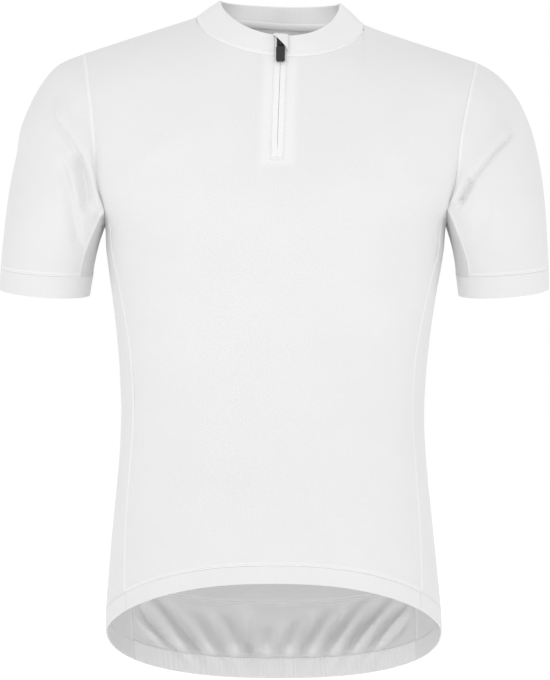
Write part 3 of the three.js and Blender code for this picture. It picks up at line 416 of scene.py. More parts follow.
def edge_of(points: Array, edge: Edge) -> Array:
    """The points along one edge of a grid."""
    return {
        Edge.TOP: points[0], Edge.BOTTOM: points[-1], Edge.START: points[:, 0], Edge.END: points[:, -1],
    }[edge]


def finer(line: Array, step: float = 0.6) -> Array:
    """The line again with points about a step apart."""
    along = np.concatenate([[0], np.cumsum(np.linalg.norm(np.diff(line, axis=0), axis=1))])
    at = np.linspace(0, along[-1], max(2, math.ceil(along[-1] / step) + 1))
    return np.stack([np.interp(at, along, line[:, k]) for k in range(3)], axis=1)


def distance_to(points: Array, line: Array, reach: float = 14.0) -> Array:
    """How far each point of a grid is from a line, up to a reach.

    Args:
        points: the grid.
        line: the line's points.
        reach: the greatest distance of interest.

    Returns:
        The distances.
    """
    dense = finer(line)
    tree = KDTree(len(dense))
    for i, p in enumerate(dense):
        tree.insert(p, i)
    tree.balance()
    low, high = dense.min(0) - reach, dense.max(0) + reach
    flat = points.reshape(-1, 3)
    close = np.all((flat > low) & (flat < high), axis=1)
    found = np.full(len(flat), reach)
    found[close] = [min(tree.find(p)[2], reach) for p in flat[close]]
    return found.reshape(points.shape[:2])


def unevenness(points: Array) -> Array:
    """The slight waviness of cloth that no wearer pulls flat, in millimetres."""
    x, y, z = points[..., 0], points[..., 1], points[..., 2]
    slow = np.sin(x / 31 + z / 57 + 1.3) * np.sin(z / 43 - y / 37)
    quick = np.sin(x / 15 - z / 21 + 0.7) * np.sin(z / 17 + y / 19 + 2.1)
    return 0.35 * slow + 0.12 * quick


def linear(hex_colour: str) -> tuple[float, float, float, float]:
    """An sRGB hex colour as linear values.

    Args:
        hex_colour: six hex digits after a hash.

    Returns:
        Red, green, blue and alpha.
    """
    parts = [int(hex_colour[i:i + 2], 16) / 255 for i in (1, 3, 5)]
    red, green, blue = (c / 12.92 if c <= 0.04045 else ((c + 0.055) / 1.055) ** 2.4 for c in parts)
    return red, green, blue, 1.0


def add_node(tree: bpy.types.NodeTree, kind: str, settings: dict, inputs: dict) -> bpy.types.Node:
    """Adds a node with its settings and links.

    Args:
        tree: the material's node tree.
        kind: the node's type.
        settings: values for the node's own properties.
        inputs: for each input, by name or number, a constant or another node's output.

    Returns:
        The node.
    """
    node = tree.nodes.new(kind)
    for name, value in settings.items():
        setattr(node, name, value)
    for key, value in inputs.items():
        if isinstance(value, bpy.types.NodeSocket):
            tree.links.new(value, node.inputs[key])
        else:
            node.inputs[key].default_value = value
    return node


def new_material(name: str) -> tuple[bpy.types.Material, bpy.types.NodeTree, bpy.types.Node]:
    """A new material, its node tree and its shader."""
    made = bpy.data.materials.new(name)
    made.use_nodes = True
    return made, made.node_tree, made.node_tree.nodes["Principled BSDF"]


def maths(tree: bpy.types.NodeTree, operation: str, *values: object) -> bpy.types.NodeSocket:
    """The output of a Math node on constants or other outputs."""
    return add_node(tree, "ShaderNodeMath", {"operation": operation}, dict(enumerate(values))).outputs[0]


class Pattern(Enum):
    """How a cloth is knitted or woven."""

    DIAMOND_MESH = "diamond mesh"
    OPEN_MESH = "open mesh"
    FINE_RIB = "fine rib"
    TWILL_TAPE = "twill tape"


@dataclass(frozen=True)
class ClothFinish:
    """A white synthetic cloth: matt, a little glossy along its threads, paler where it is backed, with
    painted shade in its holes and between its ribs.

    Attributes:
        name: the material's name.
        slot: the record's material slot; not used.
        colour: one layer of the cloth.
        backed: the cloth where a seam allowance or another layer lies behind it.
        shade: painted shade, the darker colour put down in the holes or between the ribs.
        pattern: how it is made.
        pitch: the spacing of the pattern in millimetres.
        depth: the relief of the pattern in millimetres.
        holes: how far the holes take the painted shade, from 0 to 1.
        roughness: the surface's roughness.
        sheen: how much the fibres glow at a slant.
    """

    name: str
    slot: str
    colour: str
    backed: str
    shade: str
    pattern: Pattern
    pitch: float
    depth: float
    holes: float = 0.6
    roughness: float = 0.8
    sheen: float = 0.25

    def relief(self, tree: bpy.types.NodeTree) -> bpy.types.NodeSocket:
        """Builds the pattern's depth, from 0 on the threads to 1 in the holes.

        Args:
            tree: the material's node tree.

        Returns:
            The output that holds it.
        """
        place = add_node(tree, "ShaderNodeUVMap", {"uv_map": "UVMap"}, {}).outputs[0]
        split = add_node(tree, "ShaderNodeSeparateXYZ", {}, {0: place})
        u, v = split.outputs[0], split.outputs[1]
        turn = 2 * math.pi / (self.pitch * MM)
        if self.pattern is Pattern.FINE_RIB:
            wave = maths(tree, "SINE", maths(tree, "MULTIPLY", u, turn))
            stitch = maths(tree, "SINE", maths(tree, "MULTIPLY", v, turn * 0.7))
            both = maths(tree, "MULTIPLY_ADD", stitch, 0.25, wave)
            low, high = -0.2, 1.1
        elif self.pattern is Pattern.TWILL_TAPE:
            sum_uv = maths(tree, "ADD", u, maths(tree, "ABSOLUTE", v))
            both = maths(tree, "SINE", maths(tree, "MULTIPLY", sum_uv, turn))
            low, high = -0.1, 1.0
        else:
            first = maths(tree, "COSINE", maths(tree, "MULTIPLY", u, turn))
            second = maths(tree, "COSINE", maths(tree, "MULTIPLY", v, turn))
            both = maths(tree, "MULTIPLY", first, second)
            low, high = (0.05, 0.8) if self.pattern is Pattern.DIAMOND_MESH else (-0.1, 0.6)
        settings = {"interpolation_type": "SMOOTHSTEP"}
        ranged = add_node(tree, "ShaderNodeMapRange", settings, {0: both, 1: low, 2: high})
        return ranged.outputs[0]

    def material(self) -> bpy.types.Material:
        """Builds the material, or gives the one already built.

        Returns:
            The material.
        """
        if self.name in bpy.data.materials:
            return bpy.data.materials[self.name]
        made, tree, shader = new_material(self.name)
        holes = self.relief(tree)
        layers = add_node(tree, "ShaderNodeAttribute", {"attribute_name": "layers"}, {}).outputs["Fac"]
        object_place = add_node(tree, "ShaderNodeTexCoord", {}, {}).outputs["Object"]
        cloudy = add_node(
            tree, "ShaderNodeTexNoise", {}, {"Vector": object_place, "Scale": 14.0, "Detail": 3.0},
        ).outputs[0]
        tone = add_node(
            tree, "ShaderNodeMix", {"data_type": "RGBA"},
            {0: layers, 6: linear(self.colour), 7: linear(self.backed)},
        ).outputs[2]
        # Painted shade: the holes and the grooves between ribs are mixed towards the shade colour, less
        # where the cloth is backed.
        painted_shade_share = maths(tree, "MULTIPLY", holes, maths(tree, "MULTIPLY_ADD", layers, -0.45, self.holes))
        knitted = add_node(
            tree, "ShaderNodeMix", {"data_type": "RGBA"}, {0: painted_shade_share, 6: tone, 7: linear(self.shade)},
        ).outputs[2]
        uneven = add_node(
            tree, "ShaderNodeHueSaturation", {},
            {"Value": maths(tree, "MULTIPLY_ADD", cloudy, 0.06, 0.97), "Color": knitted},
        ).outputs[0]
        fibres = add_node(
            tree, "ShaderNodeTexNoise", {}, {"Vector": object_place, "Scale": 900.0, "Detail": 2.0},
        ).outputs[0]
        height = maths(tree, "MULTIPLY_ADD", fibres, 0.25, maths(tree, "MULTIPLY", holes, -1.0))
        bump = add_node(
            tree, "ShaderNodeBump", {}, {"Height": height, "Distance": self.depth * MM, "Strength": 0.6},
        ).outputs[0]
        tree.links.new(uneven, shader.inputs["Base Color"])
        tree.links.new(bump, shader.inputs["Normal"])
        shader.inputs["Roughness"].default_value = self.roughness
        shader.inputs["Sheen Weight"].default_value = self.sheen
        shader.inputs["Sheen Roughness"].default_value = 0.5
        shader.inputs["Specular IOR Level"].default_value = 0.3
        return made


@dataclass(frozen=True)
class PlainFinish:
    """A thread or a moulding, with a fine grain of its own.

    Attributes:
        name: the material's name.
        slot: the record's material slot; not used.
        colour: the main colour.
        worn: the colour that shows through in specks and along the grain.
        roughness: the surface's roughness.
        grain: the spacing of the grain in millimetres.
        depth: the relief of the grain in millimetres.
    """

    name: str
    slot: str
    colour: str
    worn: str
    roughness: float
    grain: float
    depth: float

    def material(self) -> bpy.types.Material:
        """Builds the material, or gives the one already built.

        Returns:
            The material.
        """
        if self.name in bpy.data.materials:
            return bpy.data.materials[self.name]
        made, tree, shader = new_material(self.name)
        place = add_node(tree, "ShaderNodeTexCoord", {}, {}).outputs["Object"]
        spacing = {"Vector": place, "Scale": 1 / (self.grain * MM), "Detail": 4.0}
        noise = add_node(tree, "ShaderNodeTexNoise", {}, spacing).outputs[0]
        shades = {0: noise, 6: linear(self.colour), 7: linear(self.worn)}
        tone = add_node(tree, "ShaderNodeMix", {"data_type": "RGBA"}, shades).outputs[2]
        rough = add_node(
            tree, "ShaderNodeMapRange", {}, {0: noise, 3: self.roughness - 0.08, 4: self.roughness + 0.08},
        ).outputs[0]
        bump = add_node(
            tree, "ShaderNodeBump", {}, {"Height": noise, "Distance": self.depth * MM, "Strength": 0.5},
        ).outputs[0]
        tree.links.new(tone, shader.inputs["Base Color"])
        tree.links.new(rough, shader.inputs["Roughness"])
        tree.links.new(bump, shader.inputs["Normal"])
        return made


# Polyester mesh knit: matt filament yarn round diamond holes, drawn 2.1 mm apart, more than the
# real 1.3 mm, so that they show, with painted shade in them; backed, less light passes, less painted
# shade shows and it looks whiter.
MESH_KNIT = ClothFinish(
    "white polyester mesh knit", "mesh_knit", "#dfdfdf", "#e9e9e9", "#cdcdcd",
    Pattern.DIAMOND_MESH, 3.0, 0.1, 0.24,
)
# Open polyester mesh under the arms: larger holes that pass more light and take more painted shade, so it
# looks greyer.
OPEN_MESH = ClothFinish(
    "white open mesh knit", "open_mesh", "#dedede", "#e4e4e4", "#b4b4b4",
    Pattern.OPEN_MESH, 3.8, 0.3, 0.6,
)
# Polyester jersey folded double for collar, cuffs and hem: smooth, close and whiter than the mesh, with
# painted shade between its ribs.
SMOOTH_KNIT = ClothFinish(
    "white double knit", "smooth_knit", "#e1e1e1", "#ebebeb", "#d5d5d5", Pattern.FINE_RIB, 1.5, 0.08,
)
# Elasticated band: rib knit over rubber threads, gathered, with a slightly duller face and painted shade
# between its ribs.
ELASTIC_BAND = ClothFinish(
    "white elastic rib band", "elastic_band", "#ebebeb", "#efefef", "#d9d9d9", Pattern.FINE_RIB, 1.8, 0.12,
)
# Woven polyester zip tape: close twill with a faint gloss and painted shade between its lines.
ZIP_TAPE = ClothFinish(
    "white woven polyester tape", "zip_tape", "#ebebeb", "#eeeeee", "#dedede",
    Pattern.TWILL_TAPE, 1.1, 0.08, 0.5, 0.65, 0.1,
)
# Spun polyester sewing thread: white, slightly glossy and a little darker in its twist.
THREAD = PlainFinish("white polyester thread", "smooth_knit", "#f0f0f0", "#e4e4e4", 0.55, 0.5, 0.05)
# Nylon coil of the zip: clear-white monofilament, coloured grey here as painted shade for the slot it sits
# in.
PAINTED_SHADE_COIL = PlainFinish("nylon zip coil", "zip_tape", "#9a9da3", "#84878d", 0.4, 1.0, 0.02)
# Moulded acetal pull and painted slider: dark grey, satin, with a fine spark-eroded grain.
MOULDING = PlainFinish("dark grey acetal moulding", "zip_moulding", "#191a1c", "#242527", 0.5, 0.25, 0.02)


@dataclass(frozen=True)
class Cut:
    """What a maker cuts for a piece, in millimetres.

    Attributes:
        width: the cut's width.
        length: its length.
        area: its share of that rectangle.
        held: how it is held.
        rests_on: what carries it.
    """

    width: float
    length: float
    area: float
    rests_on: str
    held: str = "stretched"


def grid_object(name: str, points: Array) -> bpy.types.Object:
    """Adds a grid primitive and moves its vertices to a sheet's points.

    Args:
        name: the object's name.
        points: rows and columns of points, in millimetres.

    Returns:
        The object.
    """
    rows, columns = points.shape[:2]
    bpy.ops.object.select_all(action="DESELECT")
    bpy.ops.mesh.primitive_grid_add(x_subdivisions=columns - 1, y_subdivisions=rows - 1, size=1)
    made = bpy.context.object
    made.name = made.data.name = name
    made.data.vertices.foreach_set("co", (points * MM).astype(np.float32).ravel())
    made.data.update()
    return made


def real_size_map(points: Array, level: bool) -> Array:
    """Places for a pattern, in metres along the cloth, level with its lower edge.

    Args:
        points: the grid.
        level: whether the pattern runs level round the body, whatever the grid's rows do.

    Returns:
        Two numbers for each point.
    """
    across = np.zeros(points.shape[:2])
    steps = np.diff(points[..., :2] if level else points, axis=1)
    across[:, 1:] = np.cumsum(np.linalg.norm(steps, axis=2), axis=1)
    across -= across[:, points.shape[1] // 2, None]
    upward = np.zeros(points.shape[:2])
    upward[:-1] = np.cumsum(np.linalg.norm(np.diff(points, axis=0), axis=2)[::-1], axis=0)[::-1]
    upward += points[-1:, :, 2]
    return np.stack([across, upward], axis=-1) * MM


@dataclass
class ClothPiece:
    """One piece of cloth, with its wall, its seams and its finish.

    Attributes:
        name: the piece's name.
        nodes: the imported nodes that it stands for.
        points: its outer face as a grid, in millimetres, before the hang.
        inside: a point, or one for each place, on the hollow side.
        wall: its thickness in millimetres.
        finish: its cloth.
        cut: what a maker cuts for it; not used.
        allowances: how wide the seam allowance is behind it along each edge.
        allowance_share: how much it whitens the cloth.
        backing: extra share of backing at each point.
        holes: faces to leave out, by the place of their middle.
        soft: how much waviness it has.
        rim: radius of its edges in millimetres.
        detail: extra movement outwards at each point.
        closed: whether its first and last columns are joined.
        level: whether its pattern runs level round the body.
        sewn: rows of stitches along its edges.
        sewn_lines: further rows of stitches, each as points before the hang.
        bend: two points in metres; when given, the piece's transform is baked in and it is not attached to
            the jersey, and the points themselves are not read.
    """

    name: str
    nodes: tuple[str, ...]
    points: Array
    inside: Array
    wall: float
    finish: ClothFinish
    cut: Cut
    allowances: dict[Edge, float] = field(default_factory=dict)
    allowance_share: float = 0.7
    backing: Array | None = None
    holes: Callable[[Array], Array] | None = None
    soft: float = 1.0
    rim: float = 0.45
    detail: Array | None = None
    closed: bool = False
    level: bool = False
    sewn: tuple["SewnRow", ...] = ()
    sewn_lines: tuple[Array, ...] = ()
    bend: tuple[tuple[float, float, float], tuple[float, float, float]] | None = None

    def shaped(self) -> tuple[Array, Array]:
        """Gives the outer face with its seam relief, and where it is backed.

        Returns:
            The points, and the share of backing at each.
        """
        points = self.points
        normals = grid_normals(points, self.inside)
        layers = np.zeros(points.shape[:2])
        fade = np.ones(points.shape[:2])
        relief = np.zeros(points.shape[:2])
        for edge in Edge:
            if self.closed and edge in (Edge.START, Edge.END):
                continue
            width = self.allowances.get(edge, 0.0)
            away = distance_to(points, edge_of(points, edge))
            fade = np.minimum(fade, smooth(away / STEADY_WIDTH))
            if width:
                band = 1 - smooth((away - width) / ALLOWANCE_EDGE)
                layers = np.maximum(layers, self.allowance_share * band)
                relief = np.maximum(relief, ALLOWANCE_LIFT * band * smooth(away / SEAM_RISE))
        if self.backing is not None:
            layers = np.maximum(layers, self.backing)
            relief = np.maximum(relief, ALLOWANCE_LIFT * self.backing * fade)
        shift = relief + self.soft * unevenness(points) * fade
        if self.detail is not None:
            shift = shift + self.detail
        return points + normals * shift[..., None], layers

    def build(self) -> bpy.types.Object:
        """Returns:
            The finished object.
        """
        points, layers = self.shaped()
        normals = grid_normals(points, self.inside)
        turned = np.cross(np.gradient(points, axis=1), np.gradient(points, axis=0))
        if np.sum(turned * normals) < 0:
            points, layers = points[:, ::-1], layers[:, ::-1]
        made = grid_object(self.name, TORSO.hung(points))
        mesh = made.data
        corners = np.zeros(len(mesh.loops), np.int32)
        mesh.loops.foreach_get("vertex_index", corners)
        places = real_size_map(points, self.level).reshape(-1, 2)[corners]
        mesh.uv_layers.active.name = "UVMap"
        mesh.uv_layers.active.data.foreach_set("uv", places.astype(np.float32).ravel())
        backing = mesh.attributes.new("layers", "FLOAT", "POINT")
        backing.data.foreach_set("value", layers.astype(np.float32).ravel())
        if self.holes is not None:
            self.cut_holes(made, points)
        if self.closed:
            weld(made)
        self.thicken(made)
        made.data.materials.append(self.finish.material())
        for polygon in made.data.polygons:
            polygon.use_smooth = True
        if self.bend:
            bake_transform(made)
        else:
            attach(made, "jersey")
        if self.nodes:
            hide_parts(*self.nodes)
        LOG.info("%s: %d faces", self.name, len(made.data.polygons))
        if self.sewn or self.sewn_lines:
            SEWING.build(self, made)
        return made

    def cut_holes(self, made: bpy.types.Object, points: Array) -> None:
        """Deletes the faces that the piece leaves out.

        Args:
            made: the object.
            points: its points before the hang.
        """
        flat = points.reshape(-1, 3)
        bpy.ops.object.mode_set(mode="EDIT")
        bpy.ops.mesh.select_all(action="DESELECT")
        bpy.ops.mesh.select_mode(type="FACE")
        bpy.ops.object.mode_set(mode="OBJECT")
        for polygon in made.data.polygons:
            middle = flat[list(polygon.vertices)].mean(axis=0)
            polygon.select = bool(self.holes(middle))
        bpy.ops.object.mode_set(mode="EDIT")
        bpy.ops.mesh.delete(type="FACE")
        bpy.ops.object.mode_set(mode="OBJECT")

    def thicken(self, made: bpy.types.Object) -> None:
        """Gives the sheet its wall, inwards, and rounds the rim.

        Args:
            made: the object.
        """
        bpy.context.view_layer.objects.active = made
        wall = made.modifiers.new("wall", "SOLIDIFY")
        wall.thickness = self.wall * MM
        wall.offset = -1
        bpy.ops.object.modifier_apply(modifier=wall.name)
        rim = made.modifiers.new("rim", "BEVEL")
        rim.width = self.rim * MM
        rim.segments = 2
        rim.limit_method = "ANGLE"
        rim.angle_limit = math.radians(RIM_ANGLE)
        bpy.ops.object.modifier_apply(modifier=rim.name)


@dataclass(frozen=True)
class SewnRow:
    """A row of stitches that runs along an edge of a piece.

    Attributes:
        edge: the edge.
        distance: how far in from it, in millimetres.
        behind: whether it shows on the inner face too.
    """

    edge: Edge
    distance: float
    behind: bool = False

    def line(self, points: Array) -> Array:
        """Gives the row's line on a grid.

        Args:
            points: the grid.

        Returns:
            The line's points.
        """
        runs = {
            Edge.TOP: points.transpose(1, 0, 2), Edge.BOTTOM: points[::-1].transpose(1, 0, 2),
            Edge.START: points, Edge.END: points[:, ::-1],
        }[self.edge]
        found = []
        for run in runs:
            along = np.concatenate([[0], np.cumsum(np.linalg.norm(np.diff(run, axis=0), axis=1))])
            found.append([np.interp(self.distance, along, run[:, k]) for k in range(3)])
        return np.array(found)


@dataclass
class Copies:
    """One small modelled mesh and its copies, gathered into one object.

    Attributes:
        corners: its vertices in millimetres.
        faces: its faces.
        vertices: the vertices of each copy.
        polygons: the faces of all the copies.
    """

    corners: Array
    faces: list[tuple[int, ...]]
    vertices: list[Array] = field(default_factory=list)
    polygons: list[tuple[int, ...]] = field(default_factory=list)

    @classmethod
    def of(cls, model: bpy.types.Object) -> "Copies":
        """Takes over the mesh of a modelled object, and deletes the object.

        Args:
            model: the object.

        Returns:
            The mesh, with no copies yet.
        """
        data = model.data
        taken = cls(np.array([v.co[:] for v in data.vertices]), [tuple(p.vertices) for p in data.polygons])
        bpy.data.objects.remove(model)
        bpy.data.meshes.remove(data)
        return taken

    def add(self, corners: Array, mirrored: bool = False) -> None:
        """Adds a copy.

        Args:
            corners: its vertices in millimetres.
            mirrored: whether its faces have to be turned round.
        """
        start = len(self.vertices) * len(self.corners)
        self.vertices.append(corners)
        for face in self.faces:
            self.polygons.append(tuple(start + i for i in (face[::-1] if mirrored else face)))

    def build(self, name: str, finish: PlainFinish) -> bpy.types.Object:
        """Makes the object that holds every copy.

        Args:
            name: its name.
            finish: its finish.

        Returns:
            The object.
        """
        mesh = bpy.data.meshes.new(name)
        mesh.from_pydata(np.concatenate(self.vertices) * MM, [], self.polygons)
        made = bpy.data.objects.new(name, mesh)
        bpy.context.scene.collection.objects.link(made)
        mesh.materials.append(finish.material())
        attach(made, "jersey")
        LOG.info("%s: %d copies", name, len(self.vertices))
        return made


@dataclass(frozen=True)
class Sewing:
    """Stitches of thread, one modelled and copied along each row.

    Attributes:
        length: a stitch's length in millimetres.
        pitch: the spacing of the stitches.
        radius: the thread's radius.
        sunk: how deep the thread sinks into the cloth.
        search: how far off the cloth its face is looked for.
    """

    length: float = 2.1
    pitch: float = 2.9
    radius: float = 0.22
    sunk: float = 0.1
    search: float = 2.2

    def one(self) -> Copies:
        """Models one stitch, a bar along Z whose ends turn down into the cloth."""
        bpy.ops.object.select_all(action="DESELECT")
        bpy.ops.mesh.primitive_cylinder_add(
            vertices=6, radius=self.radius, depth=self.length * 0.6, end_fill_type="NGON",
        )
        bar = bpy.context.object
        for sign in (-1, 1):
            bpy.ops.object.mode_set(mode="OBJECT")
            for polygon in bar.data.polygons:
                polygon.select = polygon.normal.z * sign > 0.9
            bpy.ops.object.mode_set(mode="EDIT")
            bpy.ops.mesh.select_mode(type="FACE")
            bpy.ops.mesh.extrude_region_move(
                TRANSFORM_OT_translate={"value": (0, -self.radius, sign * self.length * 0.2)},
            )
            bpy.ops.transform.resize(value=(0.6, 0.6, 1))
        bpy.ops.object.mode_set(mode="OBJECT")
        return Copies.of(bar)

    def build(self, piece: ClothPiece, cloth: bpy.types.Object) -> None:
        """Sews a piece's rows onto its finished mesh.

        Args:
            piece: the piece.
            cloth: its object.
        """
        stitches = self.one()
        tree = BVHTree.FromPolygons(
            [v.co[:] for v in cloth.data.vertices], [p.vertices[:] for p in cloth.data.polygons],
        )
        points, _ = piece.shaped()
        normals = grid_normals(points, piece.inside)
        near = KDTree(points.shape[0] * points.shape[1])
        for i, place in enumerate(points.reshape(-1, 3)):
            near.insert(place, i)
        near.balance()
        rows = [(line, 1) for line in piece.sewn_lines]
        for row in piece.sewn:
            line = row.line(points)
            rows.append((line, 1))
            if row.behind:
                rows.append((line, -1))
        for line, face in rows:
            length = float(np.linalg.norm(np.diff(line, axis=0), axis=1).sum())
            count = max(1, round(length / self.pitch))
            ends = along_line(line, np.linspace(0, 1, 2 * count + 1))
            directions = unit(ends[2::2] - ends[:-2:2])
            for place, along in zip(ends[1::2], directions):
                out = normals.reshape(-1, 3)[near.find(place)[1]] * face
                spot = TORSO.hung((place + out * self.search)[None])[0] * MM
                found, normal, _, _ = tree.find_nearest(Vector(spot))
                up = np.array(normal)
                side = unit(np.cross(up, along))
                run = np.cross(side, up)
                middle = np.array(found) / MM + up * (self.radius - self.sunk)
                stitches.add(middle + stitches.corners @ np.array([side, up, run]))
        made = stitches.build(f"stitching_{piece.name}", THREAD)
        bpy.ops.object.select_all(action="DESELECT")
        made.select_set(True)
        bpy.context.view_layer.objects.active = made
        bpy.ops.object.mode_set(mode="EDIT")
        bpy.ops.mesh.select_all(action="SELECT")
        bpy.ops.mesh.normals_make_consistent(inside=False)
        bpy.ops.object.mode_set(mode="OBJECT")
        bpy.ops.object.shade_smooth()


SEWING = Sewing()


def weld(made: bpy.types.Object) -> None:
    """Joins the points of a mesh that lie together."""
    bpy.context.view_layer.objects.active = made
    bpy.ops.object.mode_set(mode="EDIT")
    bpy.ops.mesh.select_all(action="SELECT")
    bpy.ops.mesh.remove_doubles(threshold=WELD_DISTANCE)
    bpy.ops.object.mode_set(mode="OBJECT")


AXIS = np.array([0.0, SIDE_Y, 0.0])


def torso_inside(points: Array) -> Array:
    """The body's upright axis beside each point."""
    return point(0 * points[..., 0], SIDE_Y, points[..., 2] - 40)


@dataclass
class BodyPanels:
    """The front, the back, the tail and the side panels.

    Attributes:
        pitch: the spacing of their grids in millimetres.
        slot_half: half the width of the front's slot for the zip.
        slot_end: the slot's foot.
        guard_half: half the width of the guard strip behind the slot.
        guard_end: the strip's foot.
        sewn_half: how far from the middle the slot is sewn round.
        box_depth: how deep under the collar seam the sewing crosses below the slot.
        side_width: the side panels' width.
        side_length: their length.
        creases: the creases of the tail.
    """

    pitch: float = 6.0
    slot_half: float = 6.5
    slot_end: float = -163.0
    guard_half: float = 19.0
    guard_end: float = -171.0
    sewn_half: float = 7.8
    box_depth: float = 120.0
    side_width: float = 125.0
    side_length: float = 450.0
    # Creases of the tail: place along the band, height towards the inside, half width, reach up
    creases: tuple[tuple[float, ...], ...] = (
        (-130, 4.5, 6, 0.7), (-117, -6.0, 6, 0.9), (-103, 7.5, 7, 1.0), (-88, -9.0, 8, 1.0),
        (-72, 7.5, 7, 0.8), (-58, -6.0, 7, 0.9), (-45, 8.0, 7, 0.8), (-28, -9.0, 9, 1.0),
        (-9, 5.5, 6, 0.6), (4, -4.5, 6, 0.7), (16, 7.0, 6, 0.7), (29, -6.5, 6, 0.9),
        (41, 8.0, 6, 0.9), (54, -7.5, 6, 1.0), (66, 8.5, 6, 1.0), (79, -8.0, 6, 1.0),
        (91, 8.5, 6, 1.0), (104, -7.0, 6, 0.9), (115, 6.5, 5, 0.8), (127, -4.5, 6, 0.6),
    )

    def half_shares(self) -> Array:
        """Shares of the way from the zip to the side edge, close by the neck and the seams."""
        torso = TORSO
        out = torso.shoulder_half - self.slot_half
        closing = [84, 87.5, 90.2, 92.3, 94, 95.3, torso.neck_half]
        easing = torso.neck_half + np.array([1.3, 2.8, 4.6, 6.8, 9.6, 13.2, 17.8])
        beyond = near_edges(torso.shoulder_half - easing[-1], self.pitch, start=False)
        last = mix(easing[-1], torso.shoulder_half, beyond[1:])
        places = np.concatenate([np.linspace(self.slot_half, 80, 16), closing, easing, last])
        return (places - self.slot_half) / out

    def panel(self, face: Face, rise: Callable[[Array], Array]) -> Array:
        """Lays out a front or back panel from the neck and shoulders to a line along the hem.

        Args:
            face: the half of the body.
            rise: the lower line.

        Returns:
            The grid.
        """
        torso = TORSO
        half = self.half_shares()
        out = torso.shoulder_half - self.slot_half
        top_x = self.slot_half + half * out
        turn = np.arcsin(np.minimum(top_x / torso.neck_half, 1))
        neck = torso.neck(turn if face is Face.FRONT else np.pi - turn)[:, 2]
        top = np.where(top_x < torso.neck_half, neck, torso.ridge(top_x))
        corner = torso.hem_corner(face, rise)
        end_x = self.slot_half + half * (float(torso.seam_x(corner)) - self.slot_half)
        end = torso.hem_line(end_x, face, rise)
        side_top = float(torso.ridge(np.array(torso.shoulder_half)))
        angle = np.array([0, .05, .1, .15, .2, .27, .35, .44, .54, .66, .8, .95, 1.1, 1.25, 1.4, np.pi / 2])
        base = side_top - 60
        middle_end = float(torso.hem_line(np.array(0.0), Face.FRONT, torso.band_rise))
        slot = (base - self.slot_end) / (base - middle_end)
        under = (base - torso.underarm_z) / (base - corner)
        lower = near_edges((1 - under) * (base - corner), self.pitch, start=False)
        share = np.concatenate([
            0 * angle, np.linspace(0, slot, 12)[1:], np.linspace(slot, under, 9)[1:],
            mix(under, 1, lower[1:]),
        ])
        ease = np.ones_like(share)
        ease[:len(angle)] = 1 - np.cos(angle)
        side_z = mix(mix(side_top, base, ease), corner, share)
        at_corner = np.abs(side_z - torso.underarm_z) < 0.2
        edge = np.where(side_z > torso.underarm_z, ARMHOLE[face](side_z), torso.seam_x(side_z))
        edge = np.where(at_corner, torso.seam_x(torso.underarm_z), edge)
        z = mix(mix(top[None, :], base, ease[:, None]), end[None, :], share[:, None])
        x = mix(self.slot_half, edge[:, None], half[None, :])
        inner = np.linspace(-1, 1, 5)[1:-1]
        x = np.concatenate([-x[:, ::-1], x[:, :1] * inner, x], axis=1)
        z = np.concatenate([z[:, ::-1], np.repeat(z[:, :1], 3, axis=1), z], axis=1)
        points = torso.surface(x, z, face)
        points[0, np.abs(x[0]) > torso.neck_half - 0.1, 1] = SIDE_Y
        return points

    def in_slot(self, middle: Array) -> bool:
        """Whether a face of the front lies in the slot for the zip."""
        return abs(middle[0]) < self.slot_half and middle[2] > self.slot_end

    def front(self) -> ClothPiece:
        """The front, one piece, slit for the zip."""
        points = self.panel(Face.FRONT, TORSO.band_rise)
        x, z = points[..., 0], points[..., 2]
        guard = 0.5 * (1 - smooth((np.abs(x) - self.guard_half + 2) / 5)) * smooth((z - self.guard_end) / 3)
        levels = np.concatenate([np.arange(0, -119, -3.0), [-self.box_depth]])
        box = TORSO.strip(np.linspace(-self.sewn_half, self.sewn_half, 9), np.array(-self.box_depth))
        sides = [TORSO.strip(np.array(sign * self.sewn_half), levels) for sign in (-1, 1)]
        return ClothPiece(
            "cloth_front", ("front_panel",), points, torso_inside(points), 1.4, MESH_KNIT,
            Cut(480, 640, 0.84, "cloth_back"), {Edge.BOTTOM: 2.2}, rim=0.12,
            backing=guard, holes=self.in_slot, detail=self.front_folds(points), level=True,
            sewn=(SewnRow(Edge.BOTTOM, 1.6),), sewn_lines=(*sides, box),
        )

    def front_folds(self, points: Array) -> Array:
        """Soft pulls that run in from the underarms and down the front.

        Args:
            points: the panel's grid.

        Returns:
            The movement outwards in millimetres.
        """
        lines = (
            (-196, -214, -128, -150, 1.6, 13), (196, -214, 132, -158, 1.5, 12),
            (-188, -250, -105, -262, -1.1, 15), (186, -262, 112, -300, -1.0, 15),
            (-60, -250, -22, -420, 0.9, 34), (64, -330, 42, -500, -0.8, 30),
            (-150, -420, -120, -560, -0.8, 22), (148, -430, 126, -590, 0.8, 22),
        )
        return sum(ridge_along(points, line) for line in lines)

    def back(self) -> ClothPiece:
        """The back, from the neck to the seam at the foot of the pockets."""
        points = self.panel(Face.BACK, tail_rise)
        lines = (
            (-196, -214, -120, -160, 1.6, 14), (196, -214, 118, -170, 1.7, 14),
            (-90, -330, 60, -348, -1.4, 20), (-120, -375, 90, -392, 1.1, 17),
            (-70, -430, 100, -420, -1.0, 16), (0, -60, 4, -200, 0.8, 40),
        )
        folds = sum(ridge_along(points, line) for line in lines)
        return ClothPiece(
            "cloth_back", ("back_panel",), points, torso_inside(points), 1.4, MESH_KNIT,
            Cut(480, 660, 0.84, "collar_band"), {Edge.TOP: 2.0, Edge.BOTTOM: 2.6}, detail=folds, level=True,
            sewn=(SewnRow(Edge.BOTTOM, 1.7, True),),
        )

